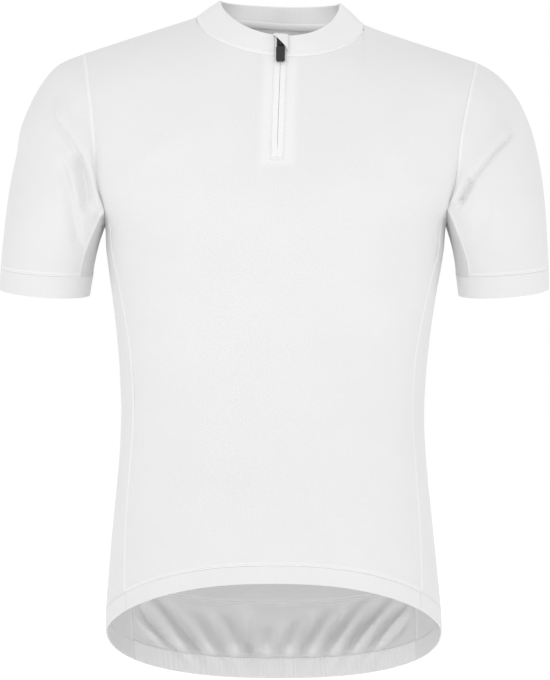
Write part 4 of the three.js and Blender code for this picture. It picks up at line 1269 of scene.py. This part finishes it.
    def tail(self) -> ClothPiece:
        """The tail below that seam, creased where the elastic gathers it."""
        points = hem_strip(Face.BACK, tail_rise, TORSO.band_rise, near_edges(65, 3.2), 210)
        return ClothPiece(
            "cloth_tail", ("back_tail",), points, torso_inside(points), 1.4, MESH_KNIT,
            Cut(390, 96, 0.8, "cloth_back", "gathered"), {Edge.TOP: 2.6}, detail=-self.tail_creases(points),
            sewn=(
                SewnRow(Edge.TOP, 1.7, True), SewnRow(Edge.BOTTOM, 1.8, True),
                SewnRow(Edge.BOTTOM, 5.0, True),
            ),
        )

    def tail_creases(self, points: Array) -> Array:
        """Depth of the creases that fan up from the gathered band.

        Args:
            points: the tail's grid, or the band's.

        Returns:
            The depth in millimetres.
        """
        x, z = points[..., 0], points[..., 2]
        above = z - TORSO.hem_line(x, Face.BACK, TORSO.band_rise)
        up = np.clip(above / 65, 0, 1)
        total = np.zeros(x.shape)
        for start, depth, width, reach in self.creases:
            line = start + (0.1 + 0.0085 * start) * above + 1.5 * np.sin(above / 11 + start)
            fade = np.cos(np.clip((up / reach - 0.3) / 0.7, 0, 1) * np.pi / 2) ** 1.3
            crease = np.exp(-(((x - line) / (width * mix(0.85, 1.25, up))) ** 2))
            total += depth * crease * fade * mix(0.14, 1, smooth(up / 0.3))
        return total * smooth((TORSO.seam_x(z) - np.abs(x)) / 16)

    def side_grid(self) -> Array:
        """Lays out the side panel on the wearer's left."""
        torso = TORSO
        front_end, back_end = (torso.hem_corner(face, torso.band_rise) for face in Face)
        down = near_edges(self.side_length, self.pitch)[:, None]
        share = near_edges(self.side_width, self.pitch)[None, :]
        front_z, back_z = mix(torso.underarm_z, front_end, down), mix(torso.underarm_z, back_end, down)
        angle = mix(-torso.seam_angle(front_z), torso.seam_angle(back_z), share)
        dip = torso.underarm_dip * ((2 * share - 1) ** 2 - 1) * (1 - down) ** 3
        hem = torso.hem_height(np.sin(angle)) + torso.band_rise(np.sin(angle))
        swing = (hem - mix(front_end, back_end, share)) * down**3
        return torso.side(angle, mix(front_z, back_z, share) + dip + swing)

    def sides(self) -> list[ClothPiece]:
        """The side panels."""
        points = self.side_grid()
        made = []
        for side in Side:
            turned = points * [side.value, 1, 1]
            made.append(ClothPiece(
                f"cloth_side_{side.word}", (f"side_panel_{side.word}",), turned, torso_inside(turned),
                1.4, MESH_KNIT, Cut(150, 505, 0.8, "cloth_front"),
                dict.fromkeys((Edge.START, Edge.END, Edge.TOP), 2.4), sewn=(SewnRow(Edge.BOTTOM, 1.6),),
            ))
        return made

    def build(self) -> list[bpy.types.Object]:
        """Makes every panel of the body."""
        return [piece.build() for piece in (self.front(), self.back(), self.tail(), *self.sides())]


def ridge_along(points: Array, line: tuple[float, ...]) -> Array:
    """A soft ridge, or a trough where its height is negative, along a line seen from the front.

    Args:
        points: the grid.
        line: x and z where it starts, x and z where it ends, its height and its half width.

    Returns:
        The movement outwards in millimetres.
    """
    x0, z0, x1, z1, height, width = line
    way = np.array([x1 - x0, z1 - z0])
    length = np.hypot(*way)
    dx, dz = points[..., 0] - x0, points[..., 2] - z0
    along = (dx * way[0] + dz * way[1]) / length**2
    off = (dx * way[1] - dz * way[0]) / length + 0.06 * length * np.sin(np.pi * np.clip(along, 0, 1))
    fade = np.cos(np.clip(np.maximum(-along, along - 1) / 0.4, 0, 1) * np.pi / 2) ** 2
    return height * fade * np.exp(-((off / width) ** 2))


def hem_strip(
    face: Face, upper: Callable[[Array], Array], lower: Callable[[Array], Array], down: Array, columns: int,
) -> Array:
    """Lays out a strip along the hem between two lines.

    Args:
        face: the half of the body.
        upper: the upper line.
        lower: the lower line.
        down: shares of the way down for the rows.
        columns: how many cells it has.

    Returns:
        The grid.
    """
    torso = TORSO
    corner_up, corner_down = torso.hem_corner(face, upper), torso.hem_corner(face, lower)
    across = np.linspace(-1, 1, columns + 1)
    top = torso.hem_line(across * torso.seam_x(corner_up), face, upper)
    end = torso.hem_line(across * torso.seam_x(corner_down), face, lower)
    edge = torso.seam_x(mix(corner_up, corner_down, down))
    return torso.surface(edge[:, None] * across, mix(top[None, :], end[None, :], down[:, None]), face)


@dataclass
class HemBands:
    """The bands round the lower edge: front, sides and the gathered elastic behind."""

    gathers: int = 54
    gather_depth: float = 0.45

    def build(self, panels: BodyPanels) -> list[bpy.types.Object]:
        """Makes the bands.

        Args:
            panels: the body panels that they hang from.

        Returns:
            The objects.
        """
        torso = TORSO
        front = hem_strip(Face.FRONT, torso.band_rise, no_rise, near_edges(20, 3), 90)
        pieces = [ClothPiece(
            "band_front", ("front_hem",), front, torso_inside(front), 1.8, SMOOTH_KNIT,
            Cut(375, 42, 0.5, "cloth_front"), soft=0.6, rim=0.7,
        )]
        upper = panels.side_grid()[-1]
        share = near_edges(panels.side_width, panels.pitch)
        front_angle = -torso.seam_angle(torso.hem_corner(Face.FRONT, no_rise))
        back_angle = torso.seam_angle(torso.hem_corner(Face.BACK, no_rise))
        angle = mix(front_angle, back_angle, share)
        lower = torso.side(angle, torso.hem_height(np.sin(angle)))
        down = near_edges(22, 3)[:, None, None]
        for side in Side:
            points = mix(upper[None], lower[None], down) * [side.value, 1, 1]
            pieces.append(ClothPiece(
                f"band_side_{side.word}", (f"side_hem_{side.word}",), points, torso_inside(points), 1.8,
                SMOOTH_KNIT, Cut(150, 46, 0.5, f"cloth_side_{side.word}"), soft=0.6, rim=0.7,
            ))
        back = hem_strip(Face.BACK, torso.band_rise, no_rise, near_edges(24, 2.5), self.gathers * 8)
        turn = np.linspace(0, self.gathers * 2 * np.pi, back.shape[1])
        wander = turn + 0.9 * np.sin(turn / 7.3) + 0.6 * np.sin(turn / 3.1 + 1)
        height = self.gather_depth * (0.75 + 0.35 * np.sin(turn / 5.7 + 0.4))
        ends = smooth(np.linspace(0, 12, back.shape[1])) * smooth(np.linspace(12, 0, back.shape[1]))
        gathered = np.sin(wander) * height * ends
        detail = gathered[None, :] - panels.tail_creases(back) * (1 - near_edges(24, 2.5))[:, None] ** 2
        pieces.append(ClothPiece(
            "band_back", ("back_hem_band",), back, torso_inside(back), 1.8, ELASTIC_BAND,
            Cut(400, 50, 0.5, "cloth_tail", "gathered"), soft=0.3, rim=0.7, detail=detail,
        ))
        return [piece.build() for piece in pieces]


@dataclass
class Sleeves:
    """The sleeves, their open-mesh underarm pieces and their cuffs.

    Attributes:
        gusset_turn: how far round from the top the underarm piece starts, in degrees.
        length: a sleeve's length in millimetres.
        girth: its width round the arm.
        pitch_down: the spacing of its rows.
        pitch_round: the spacing of its columns.
        lines: how it leaves the armhole by the turn: turn, direction, and how strongly it leaves
            there and arrives at the cuff.
        seam: the ring of the cuff seam: middle, half width, half depth, height, tip and dip.
        edge: the ring of the cuff's edge.
        folds: its folds.
    """

    gusset_turn: float = 140.0
    length: float = 230.0
    girth: float = 440.0
    pitch_down: float = 2.0
    pitch_round: float = 2.3
    lines: tuple[tuple[float, ...], ...] = (
        (0, 0.945, 0, -0.327, 250, 250), (90, 0.75, 0.1, -0.66, 130, 150), (140, 0.35, 0, -0.94, 75, 85),
        (180, 0.2, 0, -0.98, 60, 60),
    )
    seam: tuple[float, ...] = (261.8, 2, 53.2, 57, -287, 4, 6)
    edge: tuple[float, ...] = (264, 2, 52, 56, -311, 4, 7)
    # Folds: side, face (0 all round), start x, z, end x, z, height, spread above, spread below, trough, bow
    folds: tuple[tuple[float, ...], ...] = (
        (-1, 0, 256, -66, 292, -118, 4.6, 34, 34, 0, 0), (-1, -1, 204, -205, 246, -119, 6, 15, 3.6, 2, 8),
        (-1, -1, 212, -212, 223, -164, -9, 4.5, 9, 0, 1.5), (-1, -1, 223, -247, 240, -178, -5, 4, 8, 0, 2),
        (-1, 1, 200, -200, 248, -138, 3.5, 22, 12, 2, 6), (1, -1, 208, -204, 256, -137, 6, 14, 3, 2.5, 3),
        (1, -1, 208, -207, 217, -189, -8, 3.6, 5, 0, 0), (1, -1, 232, -250, 242, -196, -1.6, 9, 9, 0, 0),
        (1, 1, 202, -206, 242, -132, 4, 22, 11, 2, 4), (-1, -1, 262, -268, 284, -214, -1.1, 12, 12, 0, 0),
        (1, -1, 262, -262, 288, -206, 1.0, 13, 13, 0, 0), (-1, 1, 214, -262, 238, -206, 1.6, 9, 9, 1, 0),
        (1, 1, 216, -262, 236, -200, -1.6, 9, 9, 0, 0),
    )

    def armhole(self, turn: Array) -> Array:
        """Points of the armhole seam by the turn round the arm from its top.

        Args:
            turn: turns in degrees, above 0 in front and below 0 behind and under the arm.

        Returns:
            The points.
        """
        torso = TORSO
        top = float(torso.ridge(np.array(torso.shoulder_half)))
        z = mix(top, torso.underarm_z, 1 - np.cos(np.linspace(0, np.pi / 2, 400)))
        found = np.zeros((*np.shape(turn), 3))
        for face, sign in ((Face.FRONT, 1), (Face.BACK, -1)):
            line = torso.surface(ARMHOLE[face](z), z, face)
            share = np.clip(sign * turn / self.gusset_turn, 0, 1)
            found = np.where((sign * turn >= 0)[..., None], along_line(line, share), found)
        half = torso.seam_angle(torso.underarm_z)
        way = np.linspace(0, 1, 200)
        dip = torso.underarm_dip * ((2 * way - 1) ** 2 - 1)
        under = torso.side(mix(half, -half, way), torso.underarm_z + dip)
        share = (-turn - self.gusset_turn) / (360 - 2 * self.gusset_turn)
        return np.where((share > 0)[..., None], along_line(under, np.clip(share, 0, 1)), found)

    def ring(self, ring: tuple[float, ...], turn: Array) -> Array:
        """Points of a ring round the cuff."""
        x, y, half_width, half_depth, z, tip, dip = ring
        angle = np.radians(turn)
        cosine, sine = np.cos(angle), np.sin(angle)
        return point(x + half_width * cosine, y - half_depth * sine, z + tip * cosine - dip * sine)

    def tube(self, turn: Array, down: Array) -> Array:
        """Lays out a part of the sleeve from the armhole to the cuff seam.

        Args:
            turn: the columns' turns in degrees.
            down: the rows' shares of the way.

        Returns:
            The grid.
        """
        away = np.abs(turn)
        away = np.where(away > 180, 360 - away, away)
        columns = [Line(self.lines, k)(away) for k in range(1, 6)]
        forward = np.where(turn < -180, 1.0, np.sign(turn))
        leave = unit(point(columns[0], -forward * columns[1], columns[2])) * columns[3][:, None]
        arrive = point(0.06, 0.0, -1.0) * columns[4][:, None]
        return hermite(self.armhole(turn), leave, self.ring(self.seam, turn), arrive, down[:, None, None])

    def folded(self, points: Array, down: Array, side: Side) -> Array:
        """How far the folds move each point out.

        Args:
            points: the grid on the wearer's left.
            down: the rows' shares of the way.
            side: which sleeve it is for.

        Returns:
            The movement in millimetres.
        """
        total = np.zeros(points.shape[:2])
        for which, face, x0, z0, x1, z1, rise, above, below, trough, bow in self.folds:
            if which != side.value:
                continue
            way = np.array([x1 - x0, z1 - z0])
            dx, dz = points[..., 0] - x0, points[..., 2] - z0
            along = (dx * way[0] + dz * way[1]) / (way @ way)
            t = np.clip(along, 0, 1)
            off = (dx * way[1] - dz * way[0]) / np.hypot(*way) + bow * 4 * t * (1 - t)
            past = np.maximum(-along, along - 1) / (0.3 if face else 0.6)
            fade = np.cos(np.clip(past, 0, 1) * np.pi / 2) ** 2
            if face:
                fade = fade * smooth((points[..., 1] - SIDE_Y) * face / 30)
            crest = np.exp(-((off / np.where(off > 0, below, above)) ** 2))
            valley = np.exp(-((off / below - 1.5) ** 2))
            total += fade * (rise * crest - trough * valley)
        ends = smooth(down / 0.07) * smooth((1 - down) / 0.05)
        return total * ends[:, None]

    def build(self) -> list[bpy.types.Object]:
        """Makes both sleeves with their underarm pieces and cuffs."""
        made = []
        down = near_edges(self.length, self.pitch_down)
        wide = self.gusset_turn * (2 * near_edges(self.girth, self.pitch_round)[::-1] - 1)
        under = mix(-self.gusset_turn, -360 + self.gusset_turn, near_edges(90, 4.0))
        middle = mix(np.array([205.0, 14.0, -120.0]), np.array([261.8, 2.0, -287.0]), down[:, None])
        around = np.linspace(0, 360, 121)
        cuff_down = near_edges(24, 3)[:, None, None]
        for side in Side:
            flip = [side.value, 1, 1]
            seams = {Edge.TOP: 2.4, Edge.BOTTOM: 2.6, Edge.START: 2.2, Edge.END: 2.2}
            for name, turn, finish, cut, allowances in (
                ("sleeve", wide, MESH_KNIT, Cut(430, 235, 0.64, "cloth_front"), seams),
                ("sleeve_gusset", under, OPEN_MESH, Cut(92, 85, 0.78, f"cloth_sleeve_{side.word}"), {}),
            ):
                grid = self.tube(turn, down)
                inside = np.repeat(middle[:, None], len(turn), axis=1)
                detail = self.folded(grid, down, side)
                made.append(ClothPiece(
                    f"cloth_{name}_{side.word}", (f"{name}_{side.word}",), grid * flip, inside * flip, 1.4,
                    finish, cut, allowances, detail=detail,
                    sewn=(SewnRow(Edge.BOTTOM, 1.6),),
                ).build())
            upper, lower = (self.ring(ring, around)[None] for ring in (self.seam, self.edge))
            rings = mix(upper, lower, cuff_down) * flip
            centre = np.array([263.0, 2.0, -300.0]) * flip
            made.append(ClothPiece(
                f"cuff_band_{side.word}", (f"cuff_{side.word}",), rings, centre, 1.8, SMOOTH_KNIT,
                Cut(348, 24, 1.0, f"cloth_sleeve_{side.word}"), soft=0.5, rim=0.7, closed=True,
            ).build())
        return made


def along_line(line: Array, share: Array) -> Array:
    """Points at shares of a line's length.

    Args:
        line: the line's points.
        share: the shares.

    Returns:
        The points there.
    """
    length = np.concatenate([[0], np.cumsum(np.linalg.norm(np.diff(line, axis=0), axis=1))])
    return np.stack([np.interp(share * length[-1], length, line[:, k]) for k in range(3)], axis=-1)


@dataclass
class Collar:
    """The stand-up collar, folded double.

    Attributes:
        length: its length in millimetres.
        height: its height.
        front: how far from the middle its front edges are.
        doubled: how much its second layer whitens it.
        tape_inset: how far inside the neck seam the tape over it lies.
    """

    length: float = 540.0
    height: float = 30.0
    front: float = 6.5
    doubled: float = 0.6
    tape_inset: float = 2.35

    def build(self) -> list[bpy.types.Object]:
        """Makes the collar from its left front edge round the back to its right front edge."""
        torso = TORSO
        first, first_top = (math.asin(self.front / half) for half in (torso.neck_half, torso.collar_half))
        share = near_edges(self.length, 4.5)
        below = mix(first, 2 * np.pi - first, share)
        above = mix(first_top, 2 * np.pi - first_top, share)
        down = near_edges(self.height, 3.0)
        points = torso.collar(below[None, :], above[None, :] + 0 * down[:, None], 1 - down[:, None])
        return [ClothPiece(
            "collar_band", ("collar",), points, AXIS, 1.8, SMOOTH_KNIT,
            Cut(560, 33, 0.8, "cloth_back"), {Edge.BOTTOM: 3.4}, allowance_share=1.0, soft=0.7, rim=0.75,
            backing=np.full(points.shape[:2], self.doubled),
            sewn=(SewnRow(Edge.BOTTOM, 2.4),),
        ).build(), self.neck_tape()]

    def neck_tape(self) -> bpy.types.Object:
        """Makes the narrow tape that covers the neck seam inside, round the back."""
        torso = TORSO
        turn = np.linspace(0.52 * np.pi, 1.48 * np.pi, 91)
        rows = [torso.collar(turn, turn, np.full_like(turn, share)) for share in (0.13, 0.07, 0.0)]
        seam = torso.neck(turn)
        rows += [torso.surface(seam[:, 0], seam[:, 2] - drop, Face.BACK) for drop in (1.6, 3.4)]
        points = np.stack(rows)
        points = points - grid_normals(points, AXIS) * self.tape_inset
        return ClothPiece(
            "neck_tape", (), points, AXIS, 0.7, ZIP_TAPE, Cut(300, 10, 0.8, "collar_band"),
            soft=0, rim=0.25,
        ).build()


@dataclass
class Pockets:
    """The three back pockets, flat and empty.

    Attributes:
        places: each one's name, where it starts and ends sideways, and its mouth's height there.
        height: about how high they are, in millimetres.
        proud: how far they stand off the back.
        gape: how much farther the middle of the mouth does.
    """

    places: tuple[tuple[object, ...], ...] = (
        ("pocket_centre", -52, 52, -515, -515), ("pocket_left", 52.6, 150, -505, -530),
        ("pocket_right", -150, -52.6, -530, -505),
    )
    height: float = 140.0
    proud: float = 1.65
    gape: float = 2.5

    def build(self) -> list[bpy.types.Object]:
        """Makes the pockets."""
        made = []
        for name, start, end, mouth_start, mouth_end in self.places:
            across, down = near_edges(end - start, 4.5)[None, :], near_edges(self.height, 4.5)[:, None]
            x = mix(start, end, across)
            foot = TORSO.hem_line(x, Face.BACK, tail_rise) + 1.5
            z = mix(mix(mouth_start, mouth_end, across), foot, down)
            base = TORSO.surface(x + 0 * down, z, Face.BACK)
            off = self.proud + self.gape * np.sin(np.pi * across) * (1 - down) ** 2
            points = base + grid_normals(base, torso_inside(base)) * off[..., None]
            made.append(ClothPiece(
                f"cloth_{name}", (name,), points, torso_inside(points), 1.2, MESH_KNIT,
                Cut(end - start + 10, 160, 0.95, "cloth_back"), {Edge.TOP: 9.0, Edge.START: 2, Edge.END: 2},
                soft=0.6, rim=0.4, level=True,
                sewn=(SewnRow(Edge.TOP, 8.0), SewnRow(Edge.START, 1.6), SewnRow(Edge.END, 1.6)),
            ).build())
        return made


@dataclass
class Zip:
    """The short front zip: tapes, guard strip, coil and the fold of cloth over its top.

    Attributes:
        levels: heights on the collar where its strips have rows.
        gap: half the width of the slot between the tapes, in millimetres.
        met: the same where they meet.
        closed_below: the depth under the collar seam where they meet.
        tape_places: how far out the tapes' other columns are.
        tape_end: how deep the tapes end.
        tape_recess: how far they are set back.
        guard_half: half the guard strip's width.
        guard_end: how deep it ends.
        guard_recess: how far it is set back.
    """

    levels: tuple[float, ...] = (0.96, 0.8, 0.65, 0.5, 0.33, 0.16, 0.0)
    gap: float = 0.17
    met: float = 0.02
    closed_below: float = -102.0
    tape_places: tuple[float, ...] = (0.7, 1.5, 3, 4.5, 5.6, 6.47)
    tape_end: float = 116.9
    tape_recess: float = 0.05
    guard_half: float = 18.0
    guard_end: float = 125.0
    guard_recess: float = 2.5

    def strip(self, columns: Array, levels: Array, recess: float) -> Array:
        """Lays out a strip beside the zip, set back into the slot.

        Args:
            columns: places sideways, for each level or for all.
            levels: the levels.
            recess: how far it is set back.

        Returns:
            The grid.
        """
        points = TORSO.strip(columns, levels)
        behind = points + [0, 60, 0]
        return points - grid_normals(points, behind) * recess

    def build(self) -> list[bpy.types.Object]:
        """Makes the cloth parts of the zip."""
        made = []
        low = -np.linspace(0, self.tape_end, 34)[1:]
        levels = np.concatenate([self.levels, low])
        closed = smooth((self.closed_below - levels) / 3)[:, None]
        for side in Side:
            apart, joined = (np.array([[inner, *self.tape_places]]) for inner in (self.gap, self.met))
            columns = mix(apart, joined, closed) * side.value
            points = self.strip(columns, levels[:, None], self.tape_recess)
            made.append(ClothPiece(
                f"tape_{side.word}", (f"zip_tape_{side.word}",), points, points + [0, 60, 0], 1.0, ZIP_TAPE,
                Cut(10, 150, 0.62, "cloth_front"), soft=0, rim=0.08,
            ).build())
        guard_levels = np.concatenate([[1.0], self.levels, -np.linspace(0, self.guard_end, 34)[1:]])
        guard_columns = np.linspace(-self.guard_half, self.guard_half, 15)[None, :]
        points = self.strip(guard_columns, guard_levels[:, None], self.guard_recess)
        made.append(ClothPiece(
            "guard_strip", ("zip_guard",), points, points + [0, 60, 0], 1.2, SMOOTH_KNIT,
            Cut(36, 163, 1.0, "cloth_front"), soft=0, rim=0.4,
        ).build())
        made.append(self.garage())
        self.coil()
        return made

    def coil(self) -> None:
        """Makes the nylon coil behind the tapes, one turn modelled and copied down both sides."""
        bpy.ops.object.select_all(action="DESELECT")
        bpy.ops.mesh.primitive_torus_add(
            major_radius=0.42, minor_radius=0.16, major_segments=10, minor_segments=4,
            rotation=(math.pi / 2, 0, 0.35),
        )
        turn = bpy.context.object
        bpy.ops.object.transform_apply(location=False, rotation=True, scale=True)
        turns = Copies.of(turn)
        for i, level in enumerate(np.arange(-1.5, self.closed_below + 1, -0.75)):
            side = 1 if i % 2 else -1
            place = TORSO.strip(np.array(side * 0.3), np.array(level)) + [0, 1.75, 0]
            turns.add(TORSO.hung(place[None])[0] + turns.corners * [side, 1, 1], side < 0)
        turns.build("zip_coil", PAINTED_SHADE_COIL)

    def garage(self) -> bpy.types.Object:
        """Makes the fold of cloth over the top of the zip."""
        start, end, proud, seat, cloth = -8.3, 9.3, 6.6, 0.35, 1.0
        middle = (start + end) / 2
        patch = TORSO.strip(np.array([[0.0, 1.0]]), np.array([[1.0], [0.655]]))
        base = grid_normals(patch, np.array([0.0, 60, 0]))[0, 0]
        down = np.linspace(0, 1, 29)[:, None] ** 1.4
        x = mix(start, end, np.linspace(0, 1, 27))[None, :] + 0 * down
        slant = np.clip((x - start) / (end - start), 0, 1)
        level = mix(1, mix(0.88, 0.22, slant**1.15), down)
        across = np.sqrt(np.maximum(1 - np.abs((x - middle) / (end - middle)) ** 4, 0))
        ramp = np.sqrt(1 - (1 - np.minimum((1 - level) / 0.12, 1)) ** 2)
        low = seat + cloth
        points = TORSO.strip(x, level) + base * (low + (proud - low) * across * ramp)[..., None]
        _, y, z = frame["joints"][0]["pos_m"]
        return ClothPiece(
            "garage_fold", ("zip_garage",), points, points + [0, 60, 0], cloth, SMOOTH_KNIT,
            Cut(21, 24, 0.75, "collar_band", "folded"), soft=0, rim=0.3,
            bend=((0, y, z + 0.001), (0, y, z - 0.008)),
        ).build()


@dataclass
class Fittings:
    """The slider and its pull tab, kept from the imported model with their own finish."""

    def build(self) -> None:
        """Dresses the slider and the pull tab."""
        for name in ("zip_slider", "zip_pull"):
            slots = frame["nodes"][name].data.materials
            slots.clear()
            slots.append(MOULDING.material())
            LOG.info("%s: dressed", name)


@dataclass
class Studio:
    """Pale floor, white surroundings, soft lights and the camera."""

    floor_z: float = -0.95
    ambient: float = 0.88
    half_height: float = 0.391
    distance: float = 3.5

    def build(self) -> None:
        """Sets the scene round the jersey."""
        self.surroundings()
        self.floor()
        self.lights()
        self.camera()

    def surroundings(self) -> None:
        """Makes the white all round, as in a light tent."""
        world = bpy.data.worlds.new("white surroundings")
        bpy.context.scene.world = world
        world.use_nodes = True
        tree = world.node_tree
        seen = add_node(tree, "ShaderNodeLightPath", {}, {}).outputs["Is Camera Ray"]
        strength = maths(tree, "MULTIPLY_ADD", seen, 1 - self.ambient, self.ambient)
        tree.nodes["Background"].inputs[0].default_value = (1, 1, 1, 1)
        tree.links.new(strength, tree.nodes["Background"].inputs[1])
        bpy.context.scene.view_settings.view_transform = "Standard"

    def floor(self) -> None:
        """Makes the pale floor."""
        bpy.ops.object.select_all(action="DESELECT")
        bpy.ops.mesh.primitive_circle_add(
            vertices=96, radius=9, fill_type="NGON", location=(0, 0, self.floor_z),
        )
        floor = bpy.context.object
        floor.name = "floor"
        pale, _, shader = new_material("pale floor")
        shader.inputs["Base Color"].default_value = linear("#f4f4f4")
        shader.inputs["Roughness"].default_value = 1.0
        shader.inputs["Specular IOR Level"].default_value = 0.0
        shader.inputs["Emission Color"].default_value = (1, 1, 1, 1)
        shader.inputs["Emission Strength"].default_value = 0.3
        floor.data.materials.append(pale)

    def lights(self) -> None:
        """Adds the soft lights from the front and the side, and a faint one inside the neck."""
        for name, place, aim, size, watts in (
            ("front light", (-0.45, -1.6, 0.32), (-0.03, 0, -0.18), 0.8, 5.5),
            ("side light", (2.6, -0.9, 0.2), (0.15, 0, -0.4), 1.2, 5.0),
            ("neck light", (0, -0.03, 0.0), (0, 0.075, 0.005), 0.08, 0.03),
        ):
            light = bpy.data.lights.new(name, "AREA")
            light.energy = watts
            light.size = size
            lamp = bpy.data.objects.new(name, light)
            bpy.context.scene.collection.objects.link(lamp)
            lamp.location = place
            lamp.visible_camera = False
            lamp.rotation_euler = (Vector(aim) - Vector(place)).to_track_quat("-Z", "Y").to_euler()

    def camera(self) -> None:
        """Adds the camera, level with the middle of the jersey and straight in front of it."""
        camera = bpy.data.cameras.new("camera")
        camera.sensor_fit = "VERTICAL"
        camera.angle = 2 * math.atan(self.half_height / self.distance)
        placed = bpy.data.objects.new("camera", camera)
        bpy.context.scene.collection.objects.link(placed)
        placed.location = (-0.0061, -self.distance, -0.366)
        placed.rotation_euler = (math.pi / 2, 0, 0)
        bpy.context.scene.camera = placed


def main() -> None:
    """Builds the jersey's looks and the studio round it."""
    logging.basicConfig(level=logging.INFO, format="%(name)s %(message)s")
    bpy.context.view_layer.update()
    Studio().build()
    panels = BodyPanels()
    panels.build()
    HemBands().build(panels)
    Sleeves().build()
    Collar().build()
    Pockets().build()
    Zip().build()
    Fittings().build()


if __name__ == "__main__":
    main()
